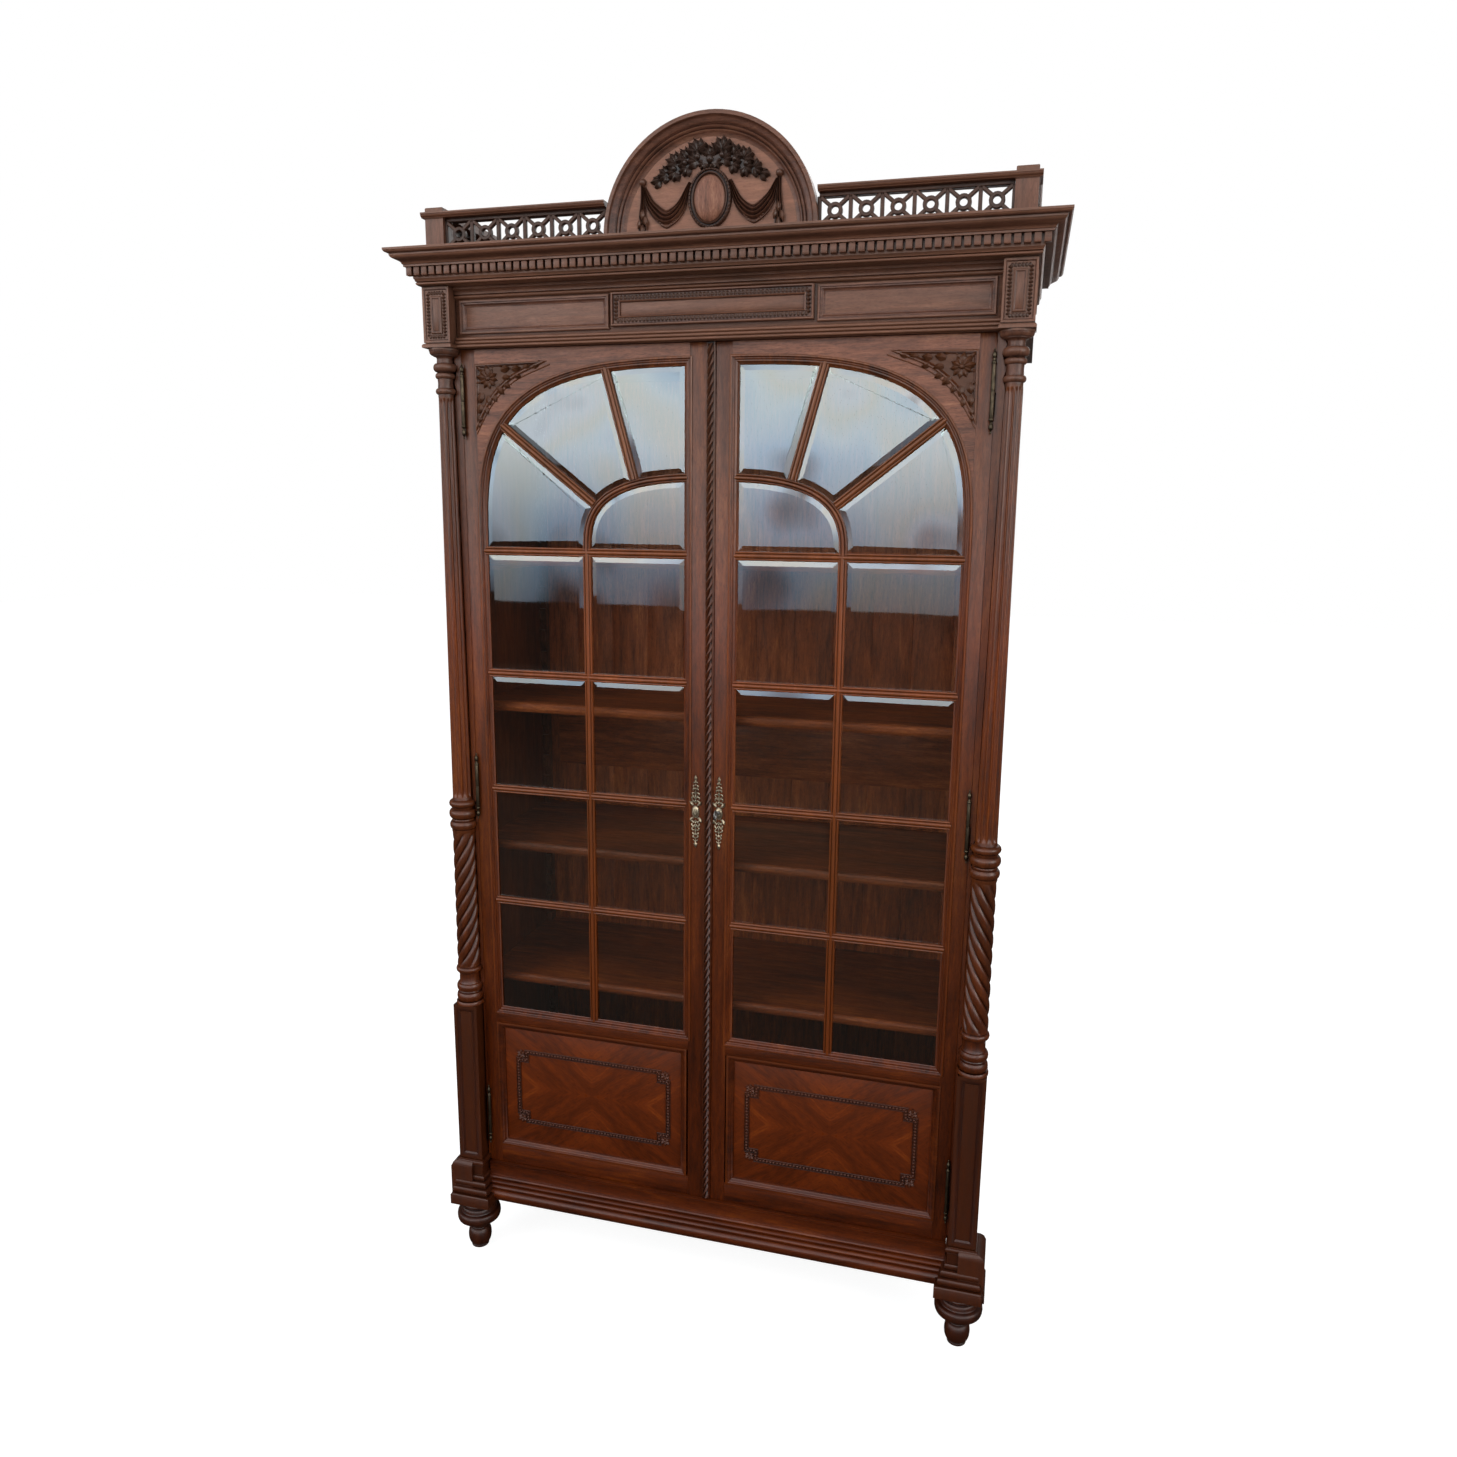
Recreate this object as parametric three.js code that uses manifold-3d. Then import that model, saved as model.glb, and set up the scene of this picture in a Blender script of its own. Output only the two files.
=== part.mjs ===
// A tall two-door glazed bookcase with adjustable shelves, in carved and turned walnut with brass fittings.
// Millimetres, +Z up, the front faces -Y. The origin is on the floor, under the middle of the bookcase.
import * as THREE from 'three';
import { mergeVertices } from 'three/addons/utils/BufferGeometryUtils.js';
import Module from 'manifold-3d';

const wasm = await Module();
wasm.setup();

// ---------------------------------------------------------------- driving dimensions

const WIDTH = 1474; // over the cornice
const DEPTH = 580; // over the cornice
const HEIGHT = 2805; // floor to the top of the crest
const GAP = 0.3; // air left between neighbouring solids

const BACK = DEPTH / 2;
const DOOR_FACE = -187; // plane of the closed doors' fronts
const DOOR_THICKNESS = 28;
const DOOR_BACK = DOOR_FACE + DOOR_THICKNESS;
const DOOR_BOTTOM = 261.3;
const DOOR_TOP = 2353.5;
const DOOR_OUTER = 607.8; // half-width of the pair
const MEETING_LEFT = 11.2; // the left door carries the astragal, so it passes the middle
const MEETING_RIGHT = 12.5;

const CASE_IN = 631;
const CASE_OUT = 655;
const POST_IN = 608.3;
const POST_BACK = DOOR_FACE + 52;
const CASE_BOTTOM = 158;
const BACK_PANEL = 12;
const BOARD = 24; // thickness of shelves, top and bottom boards
const BOTTOM_BOARD_TOP = 273;

const COLUMN_X = 646;
const COLUMN_Y = DOOR_FACE - 7;
const BLOCK_HALF = 34; // corner blocks and pedestals are square on the column's axis
const BLOCK_BOTTOM = 2354.5;
const FRIEZE_TOP = 2487.7;
const BLOCK_FILLET = 9; // square fillet under the corner blocks
const PEDESTAL_BOTTOM = 150;
const DIE_BOTTOM = 277;
const PEDESTAL_TOP = 720;

const CORNICE_BOTTOM = 2488;
const CORNICE_TOP = 2560;
const CORNICE_REACH = 57; // how far the top edge of the cornice stands out from the faces below it
const CORNICE_FACE_Y = CORNICE_REACH - DEPTH / 2;
const CORNICE_FACE_X = WIDTH / 2 - CORNICE_REACH;
const DENTIL = { pitch: 19, width: 13.7, bottom: 2506, top: 2525, bed: 10, face: 22, count: 74 };

const CREST_RADIUS = 235;
const CREST_CENTRE_Z = HEIGHT - CREST_RADIUS;
const CREST_FRONT = -222;
const CREST_BACK = -180;
const CREST_STEPS = [[10, 4], [24, 9], [45, 17]]; // inset from the edge, and depth below the front
const BOSS = { halfWidth: 48, halfHeight: 60.6, rise: 14, z: CREST_CENTRE_Z + 68.5 };

const GALLERY = { bottom: CORNICE_TOP + GAP, rail: 2635, cap: 2646, top: 2657, pitch: 64.8, back: 285 };
const POST = { x0: 624, x1: 672, y0: -215, y1: -167 };

const ARCH_CENTRE_Z = 1893; // both arches of the glazing spring from here, on the middle line
const ARCH_POWER = 3.3; // squareness of the large arch, 2 being an ellipse
const INNER_ARCH_POWER = 2.9;
const OPENING = { inner: 48.8, outer: 573, bottom: 698, archHeight: 427 };
const BEAD = 14; // moulding round the glass
const BAR = 20; // width of a glazing bar
const BAR_LEVELS = [1007, 1303, 1596.5, 1893];
const MULLION_X = 302.5;
const INNER_ARCH = { halfWidth: 312, height: 181, bar: 18 };
const SPOKES = [
  [[283.5, 2004], [515, 2186]],
  [[185.5, 2060], [254, 2311]],
];
const PANEL = { inner: 55, outer: 573, bottom: 313, top: 665, frame: 15 };
const BEADED = [100, 525, 384, 592]; // beaded rectangle on the panel: x range and z range

const RACK = { width: 30, thickness: 16.7, notch: 12, pitch: 61, bottom: 290, top: 2328 };
const SHELF_TOPS = [783, 1149, 1515, 1881];
const SHELF_FRONT = DOOR_FACE + 60;
const BATTEN = 17.4;

const HINGE = { x: 604, y: DOOR_FACE - 6, radius: 4.5, pin: 2, bore: 2.3, length: 170, leaf: 60, sides: 8 };
const HINGE_CENTRES = [398, 1307.5, 2237.5];
const LOCK_Z = 1291.5;
const KEY_X = 26.7;

// ---------------------------------------------------------------- finishes

const finish = (color, roughness, metalness = 0) => (
  new THREE.MeshStandardMaterial({ color, roughness, metalness }));
const walnut = () => finish(0x6b3a20, 0.42);
const darkWalnut = () => finish(0x4a2716, 0.5);
const paleWalnut = () => finish(0x7a4a30, 0.45);
const oak = () => finish(0x6e5034, 0.6);
const brass = () => finish(0x9a7a45, 0.4, 0.9);
const bronze = () => finish(0x6d5a41, 0.5, 0.85);
const steel = () => finish(0x6a6660, 0.45, 0.9);
const glass = () => new THREE.MeshStandardMaterial({
  color: 0xcfdcdc, roughness: 0.05, metalness: 0, transparent: true, opacity: 0.35,
});

// ---------------------------------------------------------------- solids

const PLANES = {
  front: [[1, 0, 0], [0, 0, 1], [0, -1, 0]],
  side: [[0, 1, 0], [0, 0, 1], [1, 0, 0]],
  plan: [[1, 0, 0], [0, 1, 0], [0, 0, 1]],
};

function signedVolume(position, index) {
  const a = new THREE.Vector3();
  const b = new THREE.Vector3();
  const c = new THREE.Vector3();
  let volume = 0;
  for (let i = 0; i < index.length; i += 3) {
    a.fromBufferAttribute(position, index[i]);
    b.fromBufferAttribute(position, index[i + 1]);
    c.fromBufferAttribute(position, index[i + 2]);
    volume += a.dot(b.cross(c)) / 6;
  }
  return volume;
}

// A closed geometry as a solid, with its faces turned outwards and empty faces at poles dropped.
function solidOf(geometry) {
  const plain = geometry.clone();
  plain.deleteAttribute('normal');
  plain.deleteAttribute('uv');
  const merged = mergeVertices(plain, 1e-3);
  const position = merged.attributes.position;
  const faces = [];
  for (let i = 0; i < merged.index.count; i += 3) {
    const [a, b, c] = [0, 1, 2].map((k) => merged.index.getX(i + k));
    if (a !== b && b !== c && c !== a) faces.push(a, b, c);
  }
  if (signedVolume(position, faces) < 0) faces.reverse();
  return new wasm.Manifold(new wasm.Mesh({
    numProp: 3,
    vertProperties: Float32Array.from(position.array),
    triVerts: Uint32Array.from(faces),
  }));
}

function box(x0, x1, y0, y1, z0, z1) {
  const geometry = new THREE.BoxGeometry(x1 - x0, y1 - y0, z1 - z0);
  geometry.translate((x0 + x1) / 2, (y0 + y1) / 2, (z0 + z1) / 2);
  return solidOf(geometry);
}

const shapeOf = (points) => new THREE.Shape(points.map(([u, v]) => new THREE.Vector2(u, v)));

// A flat outline made solid between two planes. On the front plane the outline is x, z and the planes are y;
// on the side plane it is y, z between two x; on the plan it is x, y between two z.
function prism(outline, plane, from, to) {
  const shape = Array.isArray(outline) ? shapeOf(outline) : outline;
  const depth = to - from;
  const geometry = new THREE.ExtrudeGeometry(shape, { depth, bevelEnabled: false, curveSegments: 8 });
  const [u, v, w] = PLANES[plane].map((axis) => new THREE.Vector3(...axis));
  geometry.applyMatrix4(new THREE.Matrix4().makeBasis(u, v, w));
  const start = plane === 'front' ? -to : from;
  geometry.translate(...w.clone().multiplyScalar(start).toArray());
  return solidOf(geometry);
}

// A turned piece: points are radius, height from the bottom up, both ends on the axis unless it is bored.
function turned(points, x, y, segments, bored = false) {
  const closed = bored ? [...points, points[0]] : [[0, points[0][1]], ...points, [0, points.at(-1)[1]]];
  const geometry = new THREE.LatheGeometry(closed.map(([r, h]) => new THREE.Vector2(r, h)), segments);
  geometry.rotateX(Math.PI / 2);
  geometry.translate(x, y, 0);
  return solidOf(geometry);
}

function ovalShape(cx, cy, rx, ry, sides) {
  const points = [];
  for (let k = 0; k < sides; k += 1) {
    const a = (2 * Math.PI * k) / sides;
    points.push([cx + rx * Math.cos(a), cy + ry * Math.sin(a)]);
  }
  return shapeOf(points);
}

const join = (parts) => parts.reduce((whole, part) => whole.add(part));
const cut = (whole, tools) => tools.reduce((rest, tool) => rest.subtract(tool), whole);

const furniture = new THREE.Group();

// side is 1 for the right-hand piece as modelled, or -1 for its mirror image on the left.
function piece(name, solid, material, side = 1) {
  const mesh = solid.getMesh();
  const geometry = new THREE.BufferGeometry();
  geometry.setAttribute('position', new THREE.BufferAttribute(Float32Array.from(mesh.vertProperties), 3));
  const index = Array.from(mesh.triVerts);
  if (side < 0) {
    geometry.scale(-1, 1, 1);
    index.reverse();
  }
  geometry.setIndex(index);
  geometry.computeVertexNormals();
  const node = new THREE.Mesh(geometry, material);
  node.name = name;
  furniture.add(node);
}

function pair(name, solid, material) {
  piece(`${name}_left`, solid, material(), -1);
  piece(`${name}_right`, solid, material(), 1);
}

// ---------------------------------------------------------------- columns, pedestals and feet

const COLUMN_PROFILE = [
  [36, 720.3], [36, 728], [33, 732], [34, 741], [30, 750], [30, 758], [33, 762], [33, 772], [28, 778],
  [26, 782], [26, 806], [33, 811], [33, 820], [28, 826], [29, 1000], [27, 1190], [30, 1198], [33.7, 1207],
  [29, 1216], [34.5, 1236], [29, 1250], [33.7, 1263], [24, 1274], [23, 1500], [20, 1950], [17.5, 2246],
  [23, 2262], [18, 2275], [18, 2285], [22.5, 2296], [26.5, 2312], [18, 2328],
  [20, 2336], [34.5, 2345], [34.5, 2353.9],
];

function column() {
  return turned(COLUMN_PROFILE, COLUMN_X, COLUMN_Y, 12);
}

// The hollow that a column stands in, a little wider than the column.
function columnNiche() {
  const profile = COLUMN_PROFILE.map(([r, z]) => [r + 2.5, z]);
  profile[0][1] -= 1;
  profile.at(-1)[1] += 1;
  return turned(profile, COLUMN_X, COLUMN_Y, 10);
}

const BLOCK_X0 = COLUMN_X - 32;
const BLOCK_X1 = COLUMN_X + BLOCK_HALF;
const BLOCK_Y0 = DOOR_FACE - 38;
const BLOCK_Y1 = DOOR_BACK - GAP;

// Base block under a pedestal: x range, front y, and z range of each step, from the die down to the foot.
const BASE_STEPS = [
  [609, 684, -230, 262, DIE_BOTTOM],
  [BLOCK_X0, BLOCK_X1, BLOCK_Y0, 233, 262],
  [608, 686, -231, 217, 233],
  [600, 690, -238, 199, 217],
  [594, 695, -245, 180, 199],
  [587, 699, -251, PEDESTAL_BOTTOM, 180],
];
const BASE_BACK = -137;
// Blocks that carry the base moulding on round the flank: outer x, how far the ends reach in y, and z range.
const FLANK_STEPS = [
  [660, 688, -236, -141, PEDESTAL_BOTTOM, 270],
  [687, 702, -236, -141, PEDESTAL_BOTTOM, 257],
  [701, 706, -239, -138, PEDESTAL_BOTTOM, 167],
];
const SUNK = { margin: 14, depth: 4, bottom: 298, top: 698 };

function pedestal() {
  const shaft = box(BLOCK_X0, BLOCK_X1, BLOCK_Y0, BLOCK_Y1, DIE_BOTTOM, PEDESTAL_TOP);
  const steps = BASE_STEPS.map(([x0, x1, y0, z0, z1]) => (
    box(x0, x1, y0, z0 < 233 ? BASE_BACK : BLOCK_Y1, z0, z1)));
  const flank = join(FLANK_STEPS.map((edges) => box(...edges)));
  const { margin, depth, bottom, top } = SUNK;
  const sunkPanel = box(BLOCK_X0 + margin, BLOCK_X1 - margin, BLOCK_Y0 - 1, BLOCK_Y0 + depth, bottom, top);
  return cut(join([shaft, ...steps, flank]), [sunkPanel]);
}

const FOOT_PROFILE = [
  [22, 0], [26, 6], [31, 28], [31, 44], [28, 54], [24, 62], [27, 74], [44, 80], [56, 86], [58, 98],
  [54, 110], [46, 116], [50, 124], [44, 134], [50, 142], [50, 149.7],
];
const BACK_FOOT = { x: 620, y: 230 };

function foot(x, y, height) {
  const stretch = height / FOOT_PROFILE.at(-1)[1];
  return turned(FOOT_PROFILE.map(([r, z]) => [r, z * stretch]), x, y, 12);
}

pair('column', column(), walnut);
pair('pedestal', pedestal(), walnut);
pair('front_foot', foot(COLUMN_X, COLUMN_Y, PEDESTAL_BOTTOM - GAP), walnut);
pair('back_foot', foot(BACK_FOOT.x, BACK_FOOT.y, CASE_BOTTOM - GAP), darkWalnut);

// ---------------------------------------------------------------- hinges

// Profile of a hinge half from its plain end, at zero, out to its turned finial.
const HINGE_HALF = HINGE.length / 2;
const FINIAL = [
  [4.5, HINGE_HALF - 30], [5.5, HINGE_HALF - 28], [5.5, HINGE_HALF - 25], [3.2, HINGE_HALF - 20],
  [5, HINGE_HALF - 12], [2, HINGE_HALF - 2], [0, HINGE_HALF],
];
const PIN_LENGTH = 45;

function hingeBarrels(centre) {
  const bore = HINGE.bore;
  const upper = [
    [bore, GAP], [HINGE.radius, GAP], ...FINIAL, [0, PIN_LENGTH + 1], [bore, PIN_LENGTH + 1],
  ];
  const lower = [
    ...FINIAL.map(([r, h]) => [r, -h]).reverse(), [HINGE.radius, 0], [HINGE.pin, 0], [HINGE.pin, PIN_LENGTH],
    [0, PIN_LENGTH],
  ];
  const at = (points) => points.map(([r, h]) => [r, h + centre]);
  const outline = [...at(upper), at(upper)[0]].map((p) => new THREE.Vector2(...p));
  const upperShape = new THREE.LatheGeometry(outline, HINGE.sides);
  upperShape.rotateX(Math.PI / 2);
  upperShape.translate(HINGE.x, HINGE.y, 0);
  return [solidOf(upperShape), turned(at(lower), HINGE.x, HINGE.y, HINGE.sides)];
}

// Leaves run back from the barrels into slots in the door and in the case post.
const LEAF = { doorX0: 602.2, doorX1: 604, caseX0: 608.8, caseX1: 610.6, back: -166 };
const doorLeaf = (z, g = 0) => box(
  LEAF.doorX0 - g, LEAF.doorX1 + g, HINGE.y + 3.2, LEAF.back + g, z + 2 - g, z + 2 + HINGE.leaf - 12 + g);
const caseLeaf = (z, g = 0) => box(
  LEAF.caseX0 - g, LEAF.caseX1 + g, HINGE.y - 1, LEAF.back + g, z - HINGE.leaf + 10 - g, z - 2 + g);
const caseLeafBridge = (z) => (
  box(HINGE.x + 3, LEAF.caseX1, HINGE.y - 1, HINGE.y + 1, z - HINGE.leaf + 10, z - 2));

HINGE_CENTRES.forEach((z, i) => {
  const [upper, lower] = hingeBarrels(z);
  pair(`hinge_${i + 1}_door_half`, join([upper, doorLeaf(z)]), brass);
  pair(`hinge_${i + 1}_case_half`, join([lower, caseLeaf(z), caseLeafBridge(z)]), brass);
});

// ---------------------------------------------------------------- case

// Outer faces of the plain band and of the fillet under the frieze and over the plinth of a side wall.
const SIDE_BAND = 672;
const SIDE_FILLET = 678;
const PLINTH_TOP = 260;

function sideWall() {
  const wall = join([
    box(CASE_IN, CASE_OUT, POST_BACK - 1, BACK, CASE_BOTTOM, FRIEZE_TOP),
    box(POST_IN, CASE_OUT, DOOR_FACE, POST_BACK, PEDESTAL_BOTTOM, BLOCK_BOTTOM - GAP),
    box(CASE_OUT - 1, SIDE_BAND, DOOR_BACK, BACK, BLOCK_BOTTOM, FRIEZE_TOP),
    box(CASE_OUT - 1, SIDE_FILLET, DOOR_BACK, BACK, BLOCK_BOTTOM, BLOCK_BOTTOM + BLOCK_FILLET),
    box(CASE_OUT - 1, SIDE_BAND, POST_BACK, BACK, CASE_BOTTOM, PLINTH_TOP),
    box(CASE_OUT - 1, SIDE_FILLET, POST_BACK, BACK, CASE_BOTTOM, 184),
  ]);
  const [clearX, clearY] = [WIDTH / 2, -DEPTH / 2]; // beyond every block, so the cuts run right out
  return cut(wall, [
    columnNiche(),
    box(BLOCK_X0 - GAP, clearX, clearY, BLOCK_Y1 + GAP, 262, PEDESTAL_TOP),
    box(580, clearX, clearY, BASE_BACK + GAP, 140, DIE_BOTTOM + GAP),
    ...HINGE_CENTRES.map((z) => caseLeaf(z, GAP)),
  ]);
}

// Top and bottom boards reach forward between the posts, where the doors close against them.
function caseBoard(top) {
  return join([
    box(-CASE_IN + GAP, CASE_IN - GAP, POST_BACK + GAP, BACK - BACK_PANEL - GAP, top - BOARD, top),
    box(-POST_IN + GAP, POST_IN - GAP, DOOR_BACK + 0.5, POST_BACK + 1, top - BOARD, top),
  ]);
}

const BACK_RAILS = [200, 742, 1108, 1282, 1355, 1474, 1840, 2400];

function backPanel() {
  const half = CASE_IN - GAP;
  const plate = box(-half, half, BACK - BACK_PANEL + 5, BACK, CASE_BOTTOM, FRIEZE_TOP);
  const stiles = [-half, -18, half - 36].map((x) => (
    box(x, x + 36, BACK - BACK_PANEL, BACK - 6, CASE_BOTTOM, FRIEZE_TOP)));
  const rails = BACK_RAILS.map((z) => box(-half, half, BACK - BACK_PANEL, BACK - 6, z - 20, z + 20));
  return join([plate, ...stiles, ...rails]);
}

pair('side', sideWall(), walnut);
piece('bottom_board', caseBoard(BOTTOM_BOARD_TOP), oak());
piece('top_board', caseBoard(DOOR_TOP + 0.5), oak());
piece('back_panel', backPanel(), oak());

// Front rail of the base: a flat fascia over three ribs, scribed to the base blocks at its ends.
const RAIL_PROFILE = [
  [DOOR_BACK - GAP, CASE_BOTTOM], [-217, CASE_BOTTOM], [-217, 184], [-211, 186], [-211, 192],
  [-207, 199], [-203, 201], [-203, 209],
  [-199, 216], [-196, 218], [-194, 224], [-194, 254], [-197, 257], [-196, PLINTH_TOP],
  [DOOR_BACK - GAP, PLINTH_TOP],
];

function baseRail() {
  const full = prism(RAIL_PROFILE, 'side', -BLOCK_X0 + GAP, BLOCK_X0 - GAP);
  const ends = [-1, 1].flatMap((s) => [
    box(Math.min(s * (POST_IN - GAP), s * 620), Math.max(s * (POST_IN - GAP), s * 620),
      DOOR_FACE - GAP, DOOR_BACK, 150, 270),
    ...BASE_STEPS.filter(([x0]) => x0 < BLOCK_X0).map(([x0, , y0, z0, z1]) => (
      box(Math.min(s * (x0 - GAP), s * 720), Math.max(s * (x0 - GAP), s * 720),
        y0 - 1, BASE_BACK + 1, z0 - GAP, z1 + GAP))),
  ]);
  return cut(full, ends);
}

piece('base_rail', baseRail(), walnut());

// ---------------------------------------------------------------- frieze and cornice

function ring(x0, x1, z0, z1, width, front, back) {
  return cut(box(x0, x1, front, back, z0, z1), [
    box(x0 + width, x1 - width, front - 1, back + 1, z0 + width, z1 - width),
  ]);
}

// Height range and front plane of the mouldings along the bottom and the top of the frieze.
const FRIEZE_REEDS = [
  [BLOCK_BOTTOM, 2362, -207], [2362, 2371, -203], [2371, 2381, -198],
  [2463, 2473, -198], [2473, FRIEZE_TOP, -206],
];
const TABLET = { x: 226, bottom: 2392, top: 2461, frame: 16, face: -200, rim: -205 };
const FIELD = { inner: 240, outer: 597, bottom: 2391, frame: 10, face: -198 };
const CORNER_BLOCK = { front: -227, fillet: 4, side: 68 };

function frieze() {
  const half = BLOCK_X1;
  const board = box(-half, half, DOOR_FACE - 4, BLOCK_Y1, BLOCK_BOTTOM, FRIEZE_TOP);
  const reeds = FRIEZE_REEDS.map(([z0, z1, y]) => box(-BLOCK_X0, BLOCK_X0, y, DOOR_FACE, z0, z1));
  const { x: reach, bottom, top, frame, face, rim } = TABLET;
  const tablet = join([
    box(-reach, reach, face, DOOR_FACE, bottom, top),
    ring(-reach, reach, bottom, top, frame, rim, DOOR_FACE),
  ]);
  const { inner, outer } = FIELD;
  const fields = [-outer, inner].map((x) => (
    ring(x, x + outer - inner, FIELD.bottom, top, FIELD.frame, FIELD.face, DOOR_FACE)));
  const { front, fillet, side } = CORNER_BLOCK;
  const blockEdges = [-1, 1].map((s) => (s > 0 ? half - side : -half));
  const blocks = blockEdges.flatMap((x0) => [
    box(x0, x0 + side, front, BLOCK_Y1, BLOCK_BOTTOM + BLOCK_FILLET - 1, FRIEZE_TOP),
    box(x0 - fillet, x0 + side + fillet, front - fillet, BLOCK_Y1, BLOCK_BOTTOM, BLOCK_BOTTOM + BLOCK_FILLET),
  ]);
  const hollows = blockEdges.map((x0) => ring(x0 + 5, x0 + side - 5, 2372, 2480, 16, front - 1, front + 3));
  return cut(join([board, ...reeds, tablet, ...fields, ...blocks]), hollows);
}

// Projection from the face line, and height, from the bottom of the cornice up to its top edge.
const CORNICE_PROFILE = [
  [4, 2488], [4, 2494], [8, 2495], [8, 2500], [DENTIL.bed, 2502], [DENTIL.bed, 2525], [25, 2525], [25, 2529],
  [28, 2530], [31, 2534], [36, 2539], [42, 2542], [47, 2545], [47, 2549], [51, 2550], [54, 2553],
  [CORNICE_REACH, 2555], [CORNICE_REACH, CORNICE_TOP],
];

// The moulding runs along the front and returns down both sides: each step is a slab of its own projection.
function cornice() {
  const slabs = [];
  for (let i = 1; i < CORNICE_PROFILE.length; i += 1) {
    const [d0, z0] = CORNICE_PROFILE[i - 1];
    const [d1, z1] = CORNICE_PROFILE[i];
    if (z1 - z0 < 0.5) continue;
    slabs.push(taperedSlab(d0, d1, z0, z1));
  }
  const teeth = [];
  for (let i = 0; i < DENTIL.count; i += 1) {
    const x = (i - (DENTIL.count - 1) / 2) * DENTIL.pitch;
    const y = CORNICE_FACE_Y;
    const half = DENTIL.width / 2;
    teeth.push(box(x - half, x + half, y - DENTIL.face, y, DENTIL.bottom, DENTIL.top));
  }
  const hollow = box(-590, 590, CREST_BACK, BACK - 40, CORNICE_BOTTOM - 1, CORNICE_TOP - 18);
  return cut(join([...slabs, ...teeth]), [hollow]);
}

// Stack of rectangles that grows from one projection to another; the back stays on the bookcase's back plane.
function taperedSlab(d0, d1, z0, z1) {
  const geometry = new THREE.BoxGeometry(2, 1, 1);
  const position = geometry.attributes.position;
  for (let i = 0; i < position.count; i += 1) {
    const d = position.getZ(i) > 0 ? d1 : d0;
    position.setX(i, Math.sign(position.getX(i)) * (CORNICE_FACE_X + d));
    position.setY(i, position.getY(i) > 0 ? BACK : CORNICE_FACE_Y - d);
    position.setZ(i, position.getZ(i) > 0 ? z1 : z0);
  }
  return solidOf(geometry);
}

piece('frieze', frieze(), walnut());
piece('cornice', cornice(), walnut());

// ---------------------------------------------------------------- crest

function halfDisc(radius, front, back, base = CREST_CENTRE_Z) {
  const shape = new THREE.Shape();
  shape.moveTo(-radius, base);
  shape.lineTo(radius, base);
  shape.lineTo(radius, CREST_CENTRE_Z);
  shape.absarc(0, CREST_CENTRE_Z, radius, 0, Math.PI, false);
  shape.lineTo(-radius, base);
  return prism(new THREE.Shape(shape.getPoints(16)), 'front', front, back);
}

function crest() {
  const base = CORNICE_TOP + GAP;
  const steps = CREST_STEPS.map(([inset, depth]) => (
    halfDisc(CREST_RADIUS - inset, CREST_FRONT - 1, CREST_FRONT + depth)));
  const arch = cut(halfDisc(CREST_RADIUS, CREST_FRONT, CREST_BACK, base), steps);
  const medallion = new THREE.SphereGeometry(1, 14, 8);
  medallion.scale(BOSS.halfWidth, BOSS.rise, BOSS.halfHeight);
  medallion.translate(0, CREST_FRONT + CREST_STEPS.at(-1)[1], BOSS.z);
  return join([arch, solidOf(medallion)]);
}

piece('crest', crest(), paleWalnut());

// ---------------------------------------------------------------- gallery

const FRET = { ring: 15, hole: 9, arm: 6, half: 27, front: -205, side: 643, thickness: 10 };

// One square of the fret: a ring held by four diagonal arms, so it has a round hole and four curved ones.
function fretHoles(cx, cz) {
  const holes = [ovalShape(cx, cz, FRET.hole, FRET.hole, 8)];
  const reach = FRET.half - FRET.arm / Math.SQRT2;
  const spread = Math.PI / 4 - Math.asin(FRET.arm / 2 / FRET.ring);
  for (let quarter = 0; quarter < 4; quarter += 1) {
    const turn = (quarter * Math.PI) / 2;
    const local = [[reach, FRET.half], [-reach, FRET.half]];
    for (let k = 0; k <= 2; k += 1) {
      const a = Math.PI / 2 + spread - k * spread;
      local.push([FRET.ring * Math.cos(a), FRET.ring * Math.sin(a)]);
    }
    holes.push(shapeOf(local.map(([u, v]) => [
      cx + u * Math.cos(turn) - v * Math.sin(turn), cz + u * Math.sin(turn) + v * Math.cos(turn),
    ])));
  }
  return holes;
}

function fretPanel(from, to, plane, near, far) {
  const { bottom, rail } = GALLERY;
  const cells = Math.round((to - from) / GALLERY.pitch);
  const pitch = (to - from) / cells;
  const plate = prism([[from, bottom], [to, bottom], [to, rail + 1], [from, rail + 1]], plane, near, far);
  const holes = [];
  for (let i = 0; i < cells; i += 1) {
    holes.push(...fretHoles(from + (i + 0.5) * pitch, (bottom + rail) / 2 + 3));
  }
  return cut(plate, holes.map((hole) => prism(hole, plane, near - 1, far + 1)));
}

function gallery() {
  const { bottom, rail, cap, top, back } = GALLERY;
  const inner = CREST_RADIUS;
  const body = join([
    box(POST.x0, POST.x1, POST.y0, POST.y1, bottom, rail),
    fretPanel(inner, POST.x0 + 1, 'front', FRET.front, FRET.front + FRET.thickness),
    fretPanel(POST.y1 - 1, back, 'side', FRET.side, FRET.side + FRET.thickness),
    box(inner - 12, POST.x1 + 5.5, POST.y0 - 8, POST.y1 + 10, rail, cap),
    box(POST.x0 - 5, POST.x1 + 5.5, POST.y1 + 9, back, rail, cap),
    box(POST.x0 + 1, POST.x1 - 2, POST.y0, back, cap - 1, top),
  ]);
  return cut(body, [halfDisc(CREST_RADIUS + GAP, -240, -100, bottom - 1)]);
}

pair('gallery', gallery(), walnut);

// ---------------------------------------------------------------- shelf racks, battens and shelves

const RACK_X0 = CASE_IN - RACK.thickness;
const RACK_X1 = CASE_IN - GAP;
const FRONT_RACK_Y = POST_BACK + GAP;
const BACK_RACK_Y = BACK - BACK_PANEL - GAP;
const LEDGE = SHELF_TOPS[0] - BOARD - GAP - BATTEN - GAP; // seat of the batten under the lowest shelf

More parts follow.
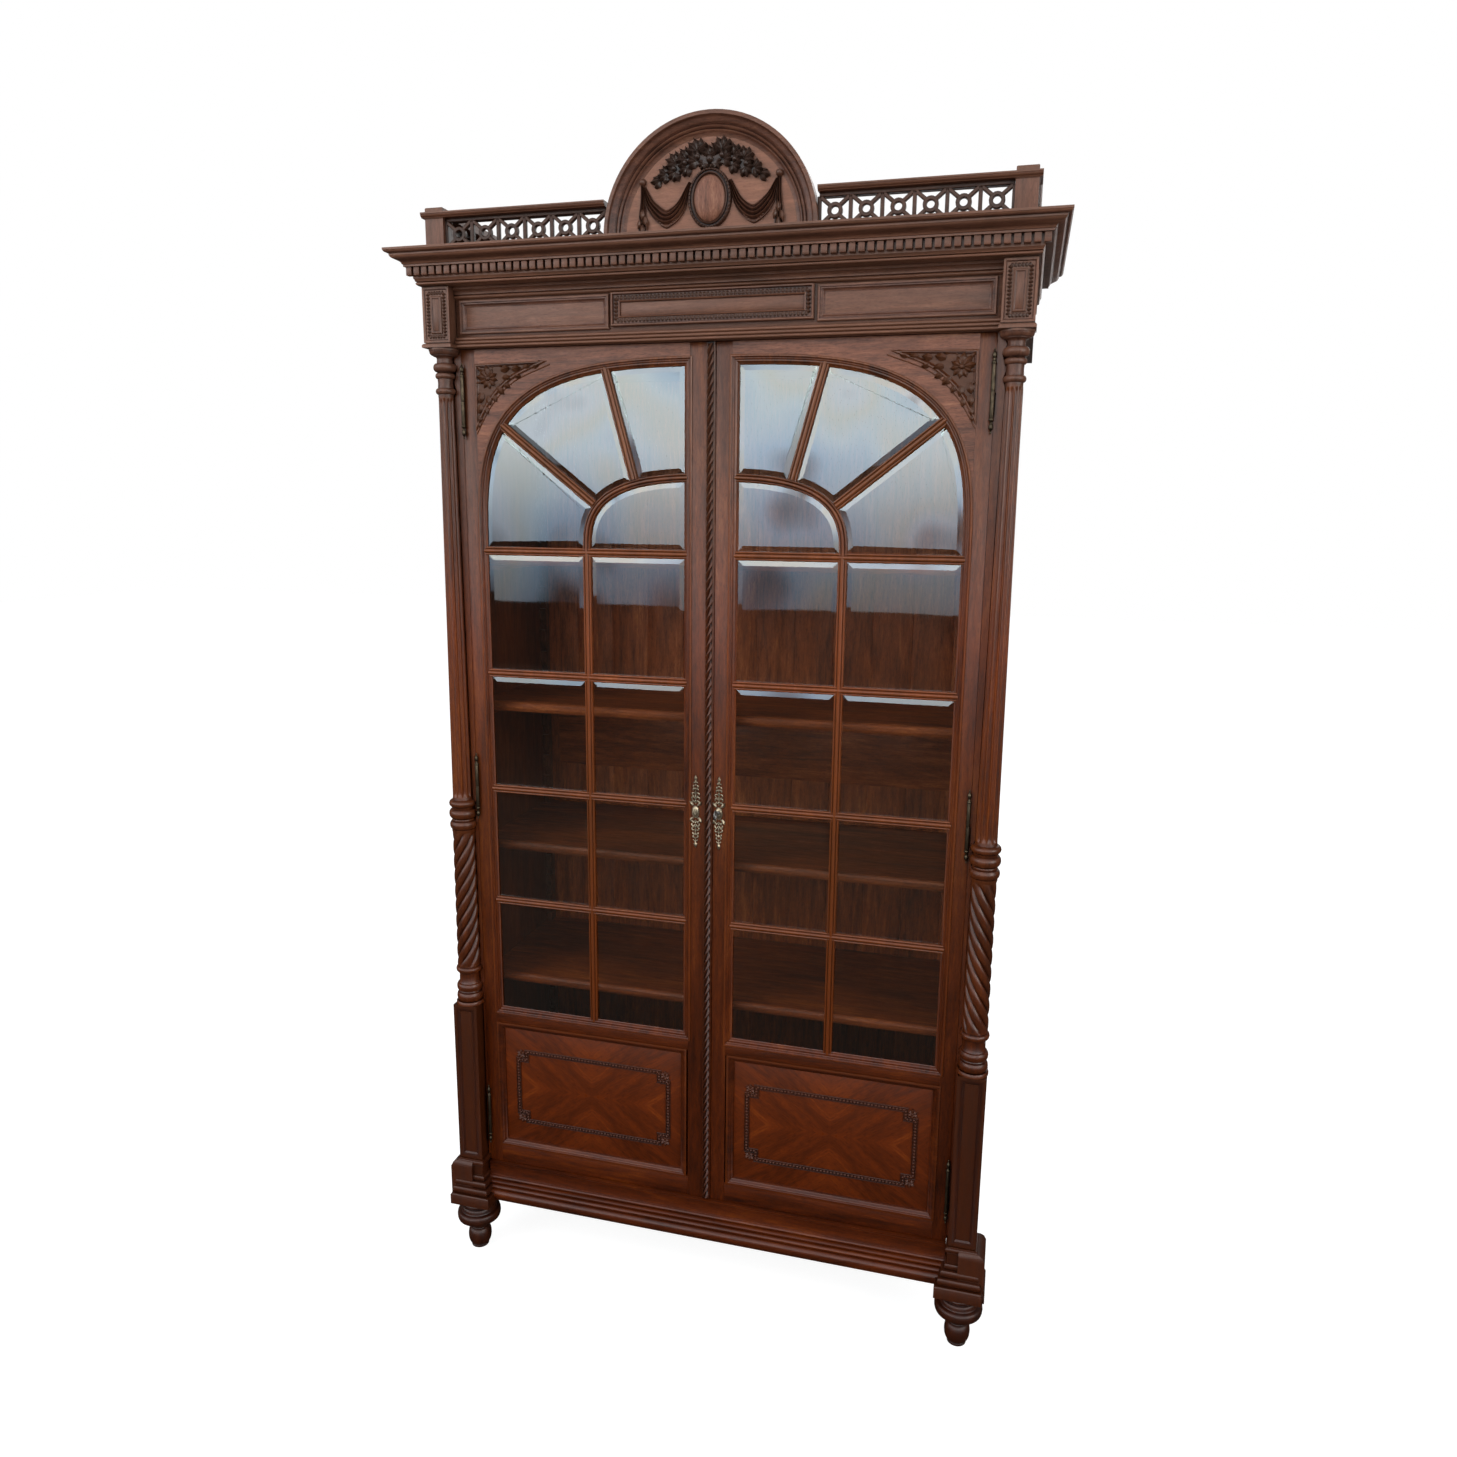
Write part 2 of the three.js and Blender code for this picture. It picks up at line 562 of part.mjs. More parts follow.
// Toothed strip: edge is the plain side's y, and facing is the way that its teeth point along y.
function rack(edge, facing) {
  const tip = edge + facing * RACK.width;
  const valley = tip - facing * RACK.notch;
  const points = [[edge, RACK.bottom], [tip, RACK.bottom]];
  const first = Math.ceil((RACK.bottom + 10 - LEDGE) / RACK.pitch);
  for (let z = LEDGE + first * RACK.pitch; z < RACK.top - 40; z += RACK.pitch) {
    points.push([tip, z], [valley, z], [valley, z + 8], [tip, z + 30]);
  }
  points.push([tip, RACK.top], [edge, RACK.top]);
  return prism(points, 'side', RACK_X0, RACK_X1);
}

// A strip across the side wall whose pointed ends rest in a notch of the front rack and one of the back rack.
function batten(shelfTop) {
  const top = shelfTop - BOARD - GAP;
  const z = top - BATTEN;
  const front = FRONT_RACK_Y + RACK.width;
  const back = BACK_RACK_Y - RACK.width;
  const reach = RACK.notch - 0.8;
  return prism([
    [front - reach, z], [back + reach, z], [back + reach, z + 5],
    [back - 1, top], [front + 1, top], [front - reach, z + 5],
  ], 'side', CASE_IN - 19, RACK_X1);
}

function shelf(top) {
  const half = CASE_IN - 1;
  const back = BACK - BACK_PANEL - 1;
  const notchX = RACK_X0 - 1.5;
  const board = box(-half, half, SHELF_FRONT + 6, back, top - BOARD, top);
  const nosing = prism([
    [SHELF_FRONT + 7, top - BOARD], [SHELF_FRONT + 5, top - BOARD],
    [SHELF_FRONT + 2, top - 20], [SHELF_FRONT, top - 15],
    [SHELF_FRONT, top - 8], [SHELF_FRONT + 3, top - 3], [SHELF_FRONT + 7, top],
  ], 'side', -notchX, notchX);
  const notches = [-1, 1].flatMap((s) => {
    const x0 = s > 0 ? notchX : -half - 1;
    const x1 = s > 0 ? half + 1 : -notchX;
    return [
      box(x0, x1, SHELF_FRONT - 1, FRONT_RACK_Y + RACK.width + 1.5, top - BOARD - 1, top + 1),
      box(x0, x1, BACK_RACK_Y - RACK.width - 1.5, back + 1, top - BOARD - 1, top + 1),
    ];
  });
  return cut(join([board, nosing]), notches);
}

pair('front_rack', rack(FRONT_RACK_Y, 1), oak);
pair('back_rack', rack(BACK_RACK_Y, -1), oak);
SHELF_TOPS.forEach((top, i) => {
  pair(`shelf_${i + 1}_batten`, batten(top), oak);
  piece(`shelf_${i + 1}`, shelf(top), oak());
});

// ---------------------------------------------------------------- doors

// Points of an arch that springs from both sides of the middle line, from one x to another.
function archPoints(halfWidth, height, power, fromX, toX, steps) {
  const points = [];
  const angleAt = (x) => Math.acos((x / halfWidth) ** (power / 2));
  const from = angleAt(fromX);
  const to = angleAt(toX);
  for (let k = 0; k <= steps; k += 1) {
    const a = from + ((to - from) * k) / steps;
    const u = Math.max(Math.cos(a), 0) ** (2 / power);
    const v = Math.max(Math.sin(a), 0) ** (2 / power);
    points.push([halfWidth * u, ARCH_CENTRE_Z + height * v]);
  }
  return points;
}

// Outline of the glazed opening, drawn in by the given amount.
function openingOutline(inset) {
  const { inner, outer, bottom, archHeight } = OPENING;
  const x0 = inner + inset;
  const x1 = outer - inset;
  return [
    [x0, bottom + inset], [x1, bottom + inset],
    ...archPoints(x1, archHeight - inset, ARCH_POWER, x1, x0, 14),
  ];
}

function strip(a, b, width, front, back) {
  const length = Math.hypot(b[0] - a[0], b[1] - a[1]);
  const nx = ((b[1] - a[1]) / length) * (width / 2);
  const nz = (-(b[0] - a[0]) / length) * (width / 2);
  const outline = [
    [a[0] + nx, a[1] + nz], [b[0] + nx, b[1] + nz], [b[0] - nx, b[1] - nz], [a[0] - nx, a[1] - nz],
  ];
  return prism(outline, 'front', front, back);
}

const BOLT = { x0: 12.8, x1: 40, half: 10, front: -178, back: -170, travel: 9 };

// The right-hand frame as modelled. meeting is the closing edge, kept apart from the other door's edge.
function doorFrame(meeting, isRight) {
  const plate = box(meeting, DOOR_OUTER, DOOR_FACE, DOOR_BACK, DOOR_BOTTOM, DOOR_TOP);
  const tools = [
    prism(openingOutline(0), 'front', DOOR_FACE - 1, DOOR_BACK + 1),
    box(PANEL.inner, PANEL.outer, DOOR_FACE - 1, DOOR_BACK + 1, PANEL.bottom, PANEL.top),
    ...HINGE_CENTRES.map((z) => doorLeaf(z, GAP)),
  ];
  const [z0, z1] = [LOCK_Z - BOLT.half - 0.4, LOCK_Z + BOLT.half + 0.4];
  if (isRight) {
    tools.push(box(meeting - 1, BOLT.x1 + 1, BOLT.front - 0.4, BOLT.back + 0.4, z0, z1));
    tools.push(keyBarrel(3.7, DOOR_FACE - 1, BOLT.front));
  } else {
    tools.push(box(meeting - 1, 2 - BOLT.x0 + BOLT.travel, BOLT.front - 0.4, BOLT.back + 0.4, z0, z1));
  }
  return cut(plate, tools);
}

function keyBarrel(radius, front, back) {
  const geometry = new THREE.CylinderGeometry(radius, radius, back - front, 12);
  geometry.translate(KEY_X, (front + back) / 2, LOCK_Z);
  return solidOf(geometry);
}

const BAR_FRONT = DOOR_FACE + 1;
const BAR_BACK = DOOR_FACE + 9;
const GLASS = 4;

// Moulded bead round the opening, horizontal bars, mullion, inner arch and the spokes of the fan.
function glazingBars() {
  const bead = cut(prism(openingOutline(GAP), 'front', BAR_FRONT, BAR_BACK), [
    prism(openingOutline(BEAD), 'front', BAR_FRONT - 1, BAR_BACK + 1),
  ]);
  const { inner, outer, bottom } = OPENING;
  const levels = BAR_LEVELS.map((z) => strip([inner + 5, z], [outer - 5, z], BAR, BAR_FRONT, BAR_BACK));
  const mullion = strip([MULLION_X, bottom + 5], [MULLION_X, ARCH_CENTRE_Z], BAR, BAR_FRONT, BAR_BACK);
  const { halfWidth, height, bar } = INNER_ARCH;
  const arc = [
    ...archPoints(halfWidth, height, INNER_ARCH_POWER, halfWidth, inner + 5, 12),
    ...archPoints(halfWidth - bar, height - bar, INNER_ARCH_POWER, halfWidth - bar, inner + 5, 12).reverse(),
  ];
  const spokes = SPOKES.map(([a, b]) => strip(a, b, BAR, BAR_FRONT, BAR_BACK));
  const lattice = join([...levels, mullion, prism(arc, 'front', BAR_FRONT, BAR_BACK), ...spokes]);
  return bead.add(lattice.intersect(prism(openingOutline(1), 'front', BAR_FRONT - 1, BAR_BACK + 1)));
}

const glassSheet = () => prism(openingOutline(GAP), 'front', BAR_BACK + GAP, BAR_BACK + GAP + GLASS);

function doorPanel() {
  const { inner, outer, bottom, top } = PANEL;
  const [x0, x1, z0, z1] = [inner + GAP, outer - GAP, bottom + GAP, top - GAP];
  return join([
    box(x0, x1, DOOR_FACE + 9, DOOR_FACE + 19, z0, z1),
    ring(x0, x1, z0, z1, PANEL.frame, DOOR_FACE - 1, DOOR_FACE + 10),
    ring(...BEADED, 9, DOOR_FACE + 5, DOOR_FACE + 10),
  ]);
}

piece('door_frame_left', doorFrame(-MEETING_LEFT, false), walnut(), -1);
piece('door_frame_right', doorFrame(MEETING_RIGHT, true), walnut());
pair('glazing_bars', glazingBars(), darkWalnut);
pair('door_glass', glassSheet(), glass);
pair('door_panel', doorPanel(), walnut);

// ---------------------------------------------------------------- astragal, escutcheons, key and bolt

const ASTRAGAL = { half: 9.5, height: 9 };

function astragal() {
  const points = [];
  for (let k = 0; k <= 8; k += 1) {
    const a = (Math.PI * k) / 8;
    points.push([ASTRAGAL.half * Math.cos(a), DOOR_FACE - GAP - ASTRAGAL.height * Math.sin(a)]);
  }
  return prism(points, 'plan', DOOR_BOTTOM + 0.5, DOOR_TOP - 0.5);
}

const ESCUTCHEON = { thickness: 3, dummyX: -31, z: 1288 };

// Half outline of the pierced plate: half-width against height above its middle.
const ESCUTCHEON_EDGE = [
  [2, 91], [5, 84], [4, 76], [8, 68], [6, 58], [11, 46], [8, 34], [12, 22], [10, 12], [12, 0],
];

function escutcheon(x, hasKeyhole) {
  const up = ESCUTCHEON_EDGE.map(([u, v]) => [x + u, ESCUTCHEON.z + v]).reverse();
  const down = ESCUTCHEON_EDGE.slice(0, -1).map(([u, v]) => [x + u, ESCUTCHEON.z - v]).reverse();
  const right = [...down.reverse(), ...up];
  const left = [...right].reverse().map(([u, v]) => [2 * x - u, v]);
  const plate = prism([...right, ...left], 'front', DOOR_FACE - GAP - ESCUTCHEON.thickness, DOOR_FACE - GAP);
  return hasKeyhole ? cut(plate, [keyBarrel(3.7, DOOR_FACE - 10, DOOR_FACE + 10)]) : plate;
}

const KEY_BOW_Y = DOOR_FACE - 33;

// Shank through the plate into the lock, a collar, and a flat pierced bow to turn it by.
function key() {
  const bow = ovalShape(KEY_BOW_Y, LOCK_Z, 10, 13, 16);
  const eye = ovalShape(KEY_BOW_Y, LOCK_Z, 5, 8, 12);
  return join([
    keyBarrel(3, DOOR_FACE - 24, BOLT.front - 1.2),
    keyBarrel(5, DOOR_FACE - 10, DOOR_FACE - 7),
    cut(prism(bow, 'side', KEY_X - 1.5, KEY_X + 1.5), [prism(eye, 'side', KEY_X - 2, KEY_X + 2)]),
  ]);
}

piece('astragal', astragal(), walnut());
piece('escutcheon_left', escutcheon(ESCUTCHEON.dummyX, false), bronze());
piece('escutcheon_right', escutcheon(KEY_X, true), bronze());
piece('key', key(), steel());
const bolt = box(BOLT.x0, BOLT.x1, BOLT.front, BOLT.back, LOCK_Z - BOLT.half, LOCK_Z + BOLT.half);
piece('lock_bolt', bolt, steel());

export default furniture;
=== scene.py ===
"""Looks of a tall walnut bookcase: turned columns, moulded cornice, arched glazed doors, brass fittings."""

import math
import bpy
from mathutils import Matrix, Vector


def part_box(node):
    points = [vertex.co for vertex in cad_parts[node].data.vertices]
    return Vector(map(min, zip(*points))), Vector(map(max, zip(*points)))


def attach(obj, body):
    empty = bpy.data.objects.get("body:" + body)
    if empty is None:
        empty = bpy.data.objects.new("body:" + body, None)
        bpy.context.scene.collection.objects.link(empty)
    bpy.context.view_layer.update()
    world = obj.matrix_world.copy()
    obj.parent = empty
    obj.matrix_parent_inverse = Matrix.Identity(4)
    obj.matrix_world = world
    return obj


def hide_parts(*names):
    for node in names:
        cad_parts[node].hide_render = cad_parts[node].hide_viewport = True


bl_info = {
    "name": "Arched Glazed Bookcase",
    "version": (1, 0, 0),
    "blender": (4, 5, 0),
    "location": "3D View > Sidebar > Bookcase",
    "description": "Builds the carved, turned and glazed pieces of a tall walnut bookcase round its frame",
    "category": "Object",
}

import bmesh
import bpy
from mathutils import Matrix, Vector

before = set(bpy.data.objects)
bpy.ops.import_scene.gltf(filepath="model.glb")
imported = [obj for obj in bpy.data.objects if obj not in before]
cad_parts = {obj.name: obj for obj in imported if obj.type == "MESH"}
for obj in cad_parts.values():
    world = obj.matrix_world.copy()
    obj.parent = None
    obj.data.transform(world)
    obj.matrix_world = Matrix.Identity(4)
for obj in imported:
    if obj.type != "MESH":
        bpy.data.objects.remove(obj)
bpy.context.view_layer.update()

# Pieces are drawn in millimetres, as a maker would, and scaled to metres as each mesh is made.
MM = 0.001


def span(node):
    """Lowest and highest corner of a node of the frame, in millimetres."""
    lo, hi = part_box(node)
    return lo / MM, hi / MM


# ---------------------------------------------------------------------------------------------
# Places taken from the frame, in millimetres; the right-hand side is drawn and the left mirrored
# ---------------------------------------------------------------------------------------------

DOOR_LO, DOOR_HI = span("door_frame_right")
FACE = DOOR_LO.y
COLUMN_LO, COLUMN_HI = span("column_right")
COLUMN_X = (COLUMN_LO.x + COLUMN_HI.x) / 2
COLUMN_Y = (COLUMN_LO.y + COLUMN_HI.y) / 2
PEDESTAL_LO, PEDESTAL_HI = span("pedestal_right")
BACK_FOOT_LO, BACK_FOOT_HI = span("back_foot_right")
FRIEZE_LO, FRIEZE_HI = span("frieze")
CORNICE_LO, CORNICE_HI = span("cornice")
CREST_LO, CREST_HI = span("crest")
GALLERY_LO, GALLERY_HI = span("gallery_right")
RAIL_LO, RAIL_HI = span("base_rail")
GLASS_LO, GLASS_HI = span("door_glass_right")
PANEL_LO, PANEL_HI = span("door_panel_right")
ASTRAGAL_LO, ASTRAGAL_HI = span("astragal")
PLATE_LO, PLATE_HI = span("escutcheon_right")
BLANK_LO, BLANK_HI = span("escutcheon_left")
KEY_LO, KEY_HI = span("key")
BACK = CORNICE_HI.y
SIDES = ((1, "right"), (-1, "left"))

# The glazing: both arches spring from one level and are centred on the middle of the bookcase.
SPRING = 1893.0
ARCH_POWER = 3.3
INNER_POWER = 2.9
OPENING_X0, OPENING_X1, OPENING_Z0, OPENING_RISE = GLASS_LO.x, GLASS_HI.x, GLASS_LO.z, GLASS_HI.z - SPRING
INNER_HALF, INNER_RISE, INNER_BAR = 312.0, 181.0, 18.0
BAR = 20.0
BEAD = 14.0
LEVELS = (1007.0, 1303.0, 1596.5, SPRING)
MULLION_X = 302.5
SPOKES = (((283.5, 2004.0), (515.0, 2186.0)), ((185.5, 2060.0), (254.0, 2311.0)))
BAR_BACK = FACE + 9


# ---------------------------------------------------------------------------------------------
# Settings
# ---------------------------------------------------------------------------------------------

class BookcaseSizes(bpy.types.PropertyGroup):
    """Sizes of the repeated details"""

    flute_count: bpy.props.IntProperty(
        name="Flutes", description="Flutes round the upper shaft of a column", default=12, min=6, max=24)
    twist_count: bpy.props.IntProperty(
        name="Twists", description="Twisted ribs round the lower shaft of a column",
        default=6, min=3, max=12)
    twist_lead: bpy.props.FloatProperty(
        name="Twist lead", description="Height of one full turn of a rib", default=0.24, unit="LENGTH")
    dentil_pitch: bpy.props.FloatProperty(
        name="Dentil pitch", description="From one dentil to the next", default=0.019, unit="LENGTH")
    dentil_count: bpy.props.IntProperty(
        name="Dentils", description="Dentils along the front of the cornice", default=74)
    rope_turns: bpy.props.IntProperty(
        name="Rope turns", description="Full turns of the roped closing strip", default=33)
    glass_bevel: bpy.props.FloatProperty(
        name="Glass bevel", description="Width of the ground edge of each pane",
        default=0.013, unit="LENGTH")


class BookcaseColours(bpy.types.PropertyGroup):
    """Colours of the wood and metals"""

    wood_dark: bpy.props.FloatVectorProperty(
        name="Wood, dark", description="Dark grain of the walnut",
        default=(0.018, 0.0045, 0.0015), size=3, subtype="COLOR")
    wood_mid: bpy.props.FloatVectorProperty(
        name="Wood, middle", description="Ground colour of the walnut",
        default=(0.078, 0.021, 0.0062), size=3, subtype="COLOR")
    wood_light: bpy.props.FloatVectorProperty(
        name="Wood, light", description="Pale grain of the walnut",
        default=(0.175, 0.060, 0.019), size=3, subtype="COLOR")
    brass: bpy.props.FloatVectorProperty(
        name="Brass", description="Aged brass of the hinges",
        default=(0.055, 0.038, 0.022), size=3, subtype="COLOR")
    bronze: bpy.props.FloatVectorProperty(
        name="Bronze", description="Cast lock plates",
        default=(0.30, 0.235, 0.16), size=3, subtype="COLOR")
    iron: bpy.props.FloatVectorProperty(
        name="Iron", description="Key and bolt",
        default=(0.16, 0.15, 0.14), size=3, subtype="COLOR")


# ---------------------------------------------------------------------------------------------
# Modelling tools
# ---------------------------------------------------------------------------------------------

def deselect():
    if bpy.context.mode != "OBJECT":
        bpy.ops.object.mode_set(mode="OBJECT")
    bpy.ops.object.select_all(action="DESELECT")


def active():
    return bpy.context.view_layer.objects.active


def only(obj):
    """Selects one object alone."""
    deselect()
    obj.select_set(True)
    bpy.context.view_layer.objects.active = obj


def edit():
    bpy.ops.object.mode_set(mode="EDIT")


def leave():
    bpy.ops.object.mode_set(mode="OBJECT")


DOUBLES_WITHIN = 5e-6  # metres


def settle(obj, name, angle=35.0):
    """Merges doubles, turns the faces outwards and smooths all but the sharp edges."""
    only(obj)
    obj.name = name
    obj.data.name = name
    bpy.ops.object.transform_apply(location=True, rotation=True, scale=True)
    edit()
    bpy.ops.mesh.select_all(action="SELECT")
    bpy.ops.mesh.remove_doubles(threshold=DOUBLES_WITHIN)
    bpy.ops.mesh.normals_make_consistent(inside=False)
    leave()
    bpy.ops.object.shade_smooth_by_angle(angle=math.radians(angle))
    return obj


def modify(obj, kind, **values):
    """Adds one modifier and applies it."""
    only(obj)
    modifier = obj.modifiers.new(kind.lower(), kind)
    for key, value in values.items():
        setattr(modifier, key, value)
    bpy.ops.object.modifier_apply(modifier=modifier.name)


def outline(points, fill="NGON"):
    """A closed line through the points, or a face: a circle whose corners are moved to their places."""
    deselect()
    bpy.ops.mesh.primitive_circle_add(vertices=len(points), fill_type=fill)
    obj = active()
    for vertex, point in zip(obj.data.vertices, points):
        vertex.co = Vector(point) * MM
    obj.data.update()
    return obj


def loft(name, rings, closed=False, angle=35.0):
    """A solid through rings with as many corners each, made by extruding the first ring's face to the next."""
    obj = outline(rings[0])
    edit()
    bpy.ops.mesh.select_all(action="SELECT")
    corner = {i: i for i in range(len(rings[0]))}
    for ring in rings[1:]:
        bpy.ops.mesh.extrude_region()
        mesh = bmesh.from_edit_mesh(obj.data)
        mesh.verts.index_update()
        fresh = {}
        for vertex in mesh.verts:
            if not vertex.select:
                continue
            for edge in vertex.link_edges:
                source = edge.other_vert(vertex)
                if not source.select:
                    fresh[vertex.index] = corner[source.index]
                    vertex.co = Vector(ring[corner[source.index]]) * MM
        corner = fresh
        bmesh.update_edit_mesh(obj.data)
    if closed:
        open_ends(obj, len(rings[0]), set(corner))
    leave()
    return settle(obj, name, angle)


def open_ends(obj, count, last):
    """Deletes the first and last faces of a loft that meets itself."""
    mesh = bmesh.from_edit_mesh(obj.data)
    for face in mesh.faces:
        face.select_set(False)
    for face in mesh.faces:
        ids = {v.index for v in face.verts}
        face.select_set(ids <= set(range(count)) or ids <= last)
    bmesh.update_edit_mesh(obj.data)
    bpy.ops.mesh.delete(type="ONLY_FACE")


def turned(name, profile, x=COLUMN_X, y=COLUMN_Y, steps=40, angle=35.0):
    """A turned piece: radius and height pairs from the bottom up, spun round an upright axis."""
    points = [(0, profile[0][1]), *profile, (0, profile[-1][1])]
    obj = outline([(x + r, y, z) for r, z in points], fill="NOTHING")
    edit()
    bpy.ops.mesh.select_all(action="DESELECT")
    mesh = bmesh.from_edit_mesh(obj.data)
    mesh.verts.ensure_lookup_table()
    for edge in mesh.verts[0].link_edges:
        if edge.other_vert(mesh.verts[0]).index == len(points) - 1:
            edge.select_set(True)
    bmesh.update_edit_mesh(obj.data)
    bpy.ops.mesh.delete(type="EDGE")
    bpy.ops.mesh.select_all(action="SELECT")
    bpy.ops.mesh.spin(steps=steps, angle=math.tau, center=(x * MM, y * MM, 0), axis=(0, 0, 1))
    leave()
    return settle(obj, name, angle)


def stack(name, levels, angle=35.0):
    """A squared piece that swells and narrows: each level is x0, x1, y0, y1 and its height."""
    rings = [[(x0, y0, z), (x1, y0, z), (x1, y1, z), (x0, y1, z)] for x0, x1, y0, y1, z in levels]
    return loft(name, rings, angle=angle)


def board(name, x0, x1, y0, y1, z0, z1, ease=1.2):
    """A board with its edges eased."""
    deselect()
    bpy.ops.mesh.primitive_cube_add(size=1)
    obj = active()
    for vertex in obj.data.vertices:
        low = [c < 0 for c in vertex.co]
        vertex.co = Vector((x0 if low[0] else x1, y0 if low[1] else y1, z0 if low[2] else z1)) * MM
    if ease:
        modify(obj, "BEVEL", width=ease * MM, segments=2, limit_method="NONE")
    return settle(obj, name)


def joined(name, parts):
    """One piece out of several, which keep their own faces."""
    deselect()
    for part in parts:
        part.select_set(True)
    bpy.context.view_layer.objects.active = parts[0]
    bpy.ops.object.join()
    parts[0].name = name
    parts[0].data.name = name
    return parts[0]


def placed(obj, name, matrix):
    """A copy of a piece with its own mesh, moved, turned or mirrored by the matrix."""
    only(obj)
    bpy.ops.object.duplicate()
    twin = active()
    twin.name = name
    twin.data.name = name
    twin.data.transform(matrix)
    if matrix.determinant() < 0:
        twin.data.flip_normals()
    return twin


MIRROR = Matrix.Scale(-1, 4, (1, 0, 0))
# Takes what is drawn on the front plane round to the right-hand side; x is then minus the y it was drawn at.
ROUND_THE_CORNER = Matrix(((0, -1, 0, 0), (1, 0, 0, 0), (0, 0, 1, 0), (0, 0, 0, 1)))


def strewn(name, seed, places, angle=40.0):
    """One piece made of copies of a small shape, each at its own place; the small shape is used up."""
    corners = [v.co.copy() for v in seed.data.vertices]
    faces = [tuple(p.vertices) for p in seed.data.polygons]
    points, loops = [], []
    for place in places:
        start = len(points)
        points += [place @ c for c in corners]
        step = -1 if place.determinant() < 0 else 1
        loops += [[start + i for i in face[::step]] for face in faces]
    mesh = bpy.data.meshes.new(name)
    mesh.from_pydata(points, [], loops)
    obj = bpy.data.objects.new(name, mesh)
    bpy.context.scene.collection.objects.link(obj)
    bpy.data.objects.remove(seed)
    only(obj)
    bpy.ops.object.shade_smooth_by_angle(angle=math.radians(angle))
    return obj


def shift(x=0.0, y=0.0, z=0.0):
    return Matrix.Translation(Vector((x, y, z)) * MM)


def turn(degrees, axis="Y"):
    return Matrix.Rotation(math.radians(degrees), 4, axis)


def roll(r, z0, z1, out, steps=6):
    """Profile of a half-round ring that stands out from radius r between two heights."""
    angles = [math.pi * k / steps for k in range(steps + 1)]
    return [(r + out * math.sin(a), z0 + (z1 - z0) * (1 - math.cos(a)) / 2) for a in angles]


def cove(r0, z0, r1, z1, steps=5):
    """Hollow quarter from one point to another, leaving upright."""
    angles = [math.pi / 2 * k / steps for k in range(steps + 1)]
    return [(r0 + (r1 - r0) * (1 - math.cos(a)), z0 + (z1 - z0) * math.sin(a)) for a in angles]


def quarter(r0, z0, r1, z1, steps=5):
    """Rounded quarter from one point to another, arriving upright."""
    angles = [math.pi / 2 * k / steps for k in range(steps + 1)]
    return [(r0 + (r1 - r0) * math.sin(a), z0 + (z1 - z0) * (1 - math.cos(a))) for a in angles]


def ogee(r0, z0, r1, z1, steps=8):
    """S-shaped profile between two points, steep in the middle of its run."""
    shares = [k / steps for k in range(steps + 1)]
    return [(r0 + (r1 - r0) * (t - 0.14 * math.sin(math.tau * t)), z0 + (z1 - z0) * t) for t in shares]


SHARPEST_MITRE = 0.3  # keeps the corner of a very sharp bend from running away


def along(name, profile, path, y, closed=False, angle=35.0):
    """Moulding along a line on the front: the profile is distance to the left of the line, and height."""
    points = [Vector(p) for p in path]
    last = len(points) - 1
    rings = []
    for i, point in enumerate(points):
        before = points[i - 1] if i > 0 else points[last - 1]
        after = points[i + 1] if i < last else points[1]
        arrive = (point - before).normalized()
        depart = (after - point).normalized()
        if not closed and i == 0:
            arrive = depart
        if not closed and i == last:
            depart = arrive
        mitre = Vector((-arrive.y - depart.y, arrive.x + depart.x)).normalized()
        stretch = 1 / max(mitre.dot(Vector((-arrive.y, arrive.x))), SHARPEST_MITRE)
        out = mitre * stretch
        rings.append([(point.x + out.x * d, y - h, point.y + out.y * d) for d, h in profile])
    return loft(name, rings, closed=closed, angle=angle)


def around(x0, x1, z0, z1):
    """The corners of a rectangle on the front, and the first again."""
    return [(x0, z0), (x1, z0), (x1, z1), (x0, z1), (x0, z0)]


def mitred(name, profile, x0, x1, z0, z1, y):
    """A rectangular frame of moulding on the front: the profile is distance inwards, and height."""
    return along(name, profile, around(x0, x1, z0, z1), y, closed=True)


def straight(name, profile, x0, x1, angle=35.0):
    """Moulding along x; the profile is y and z."""
    return loft(name, [[(x, y, z) for y, z in profile] for x in (x0, x1)], angle=angle)


def slab(name, shape, y0, y1):
    """A flat shape on the front plane, in x and z, made as thick as from one y to the other."""
    return loft(name, [[(x, y, z) for x, z in shape] for y in (y0, y1)])


def forwards(profile):
    """A profile given as distance in front of the frame's middle plane, turned into y and z."""
    return [(-reach, z) for reach, z in profile]


def oval(half_x, half_z, steps, x=0.0, z=0.0):
    """Points round an oval on the front plane, anticlockwise, and the first again."""
    angles = [math.tau * k / steps for k in range(steps + 1)]
    return [(x + half_x * math.cos(a), z + half_z * math.sin(a)) for a in angles]


def arch(half, rise, power, x_from, x_to, steps=24):
    """Points of an arch that springs from the middle line's level, from one x to another."""
    a = math.acos(min((abs(x_from) / half) ** (power / 2), 1.0))
    b = math.acos(min((abs(x_to) / half) ** (power / 2), 1.0))
    points = []
    for k in range(steps + 1):
        t = a + (b - a) * k / steps
        across, up = (max(share, 0) ** (2 / power) for share in (math.cos(t), math.sin(t)))
        points.append((half * across, SPRING + rise * up))
    return points


def opening(inset):
    """Outline of the right-hand door's glazed opening, drawn in all round, from its lower inner corner."""
    x0, x1 = OPENING_X0 + inset, OPENING_X1 - inset
    z0 = OPENING_Z0 + inset
    return [(x0, z0), (x1, z0), *arch(x1, OPENING_RISE - inset, ARCH_POWER, x1, x0, 36)]


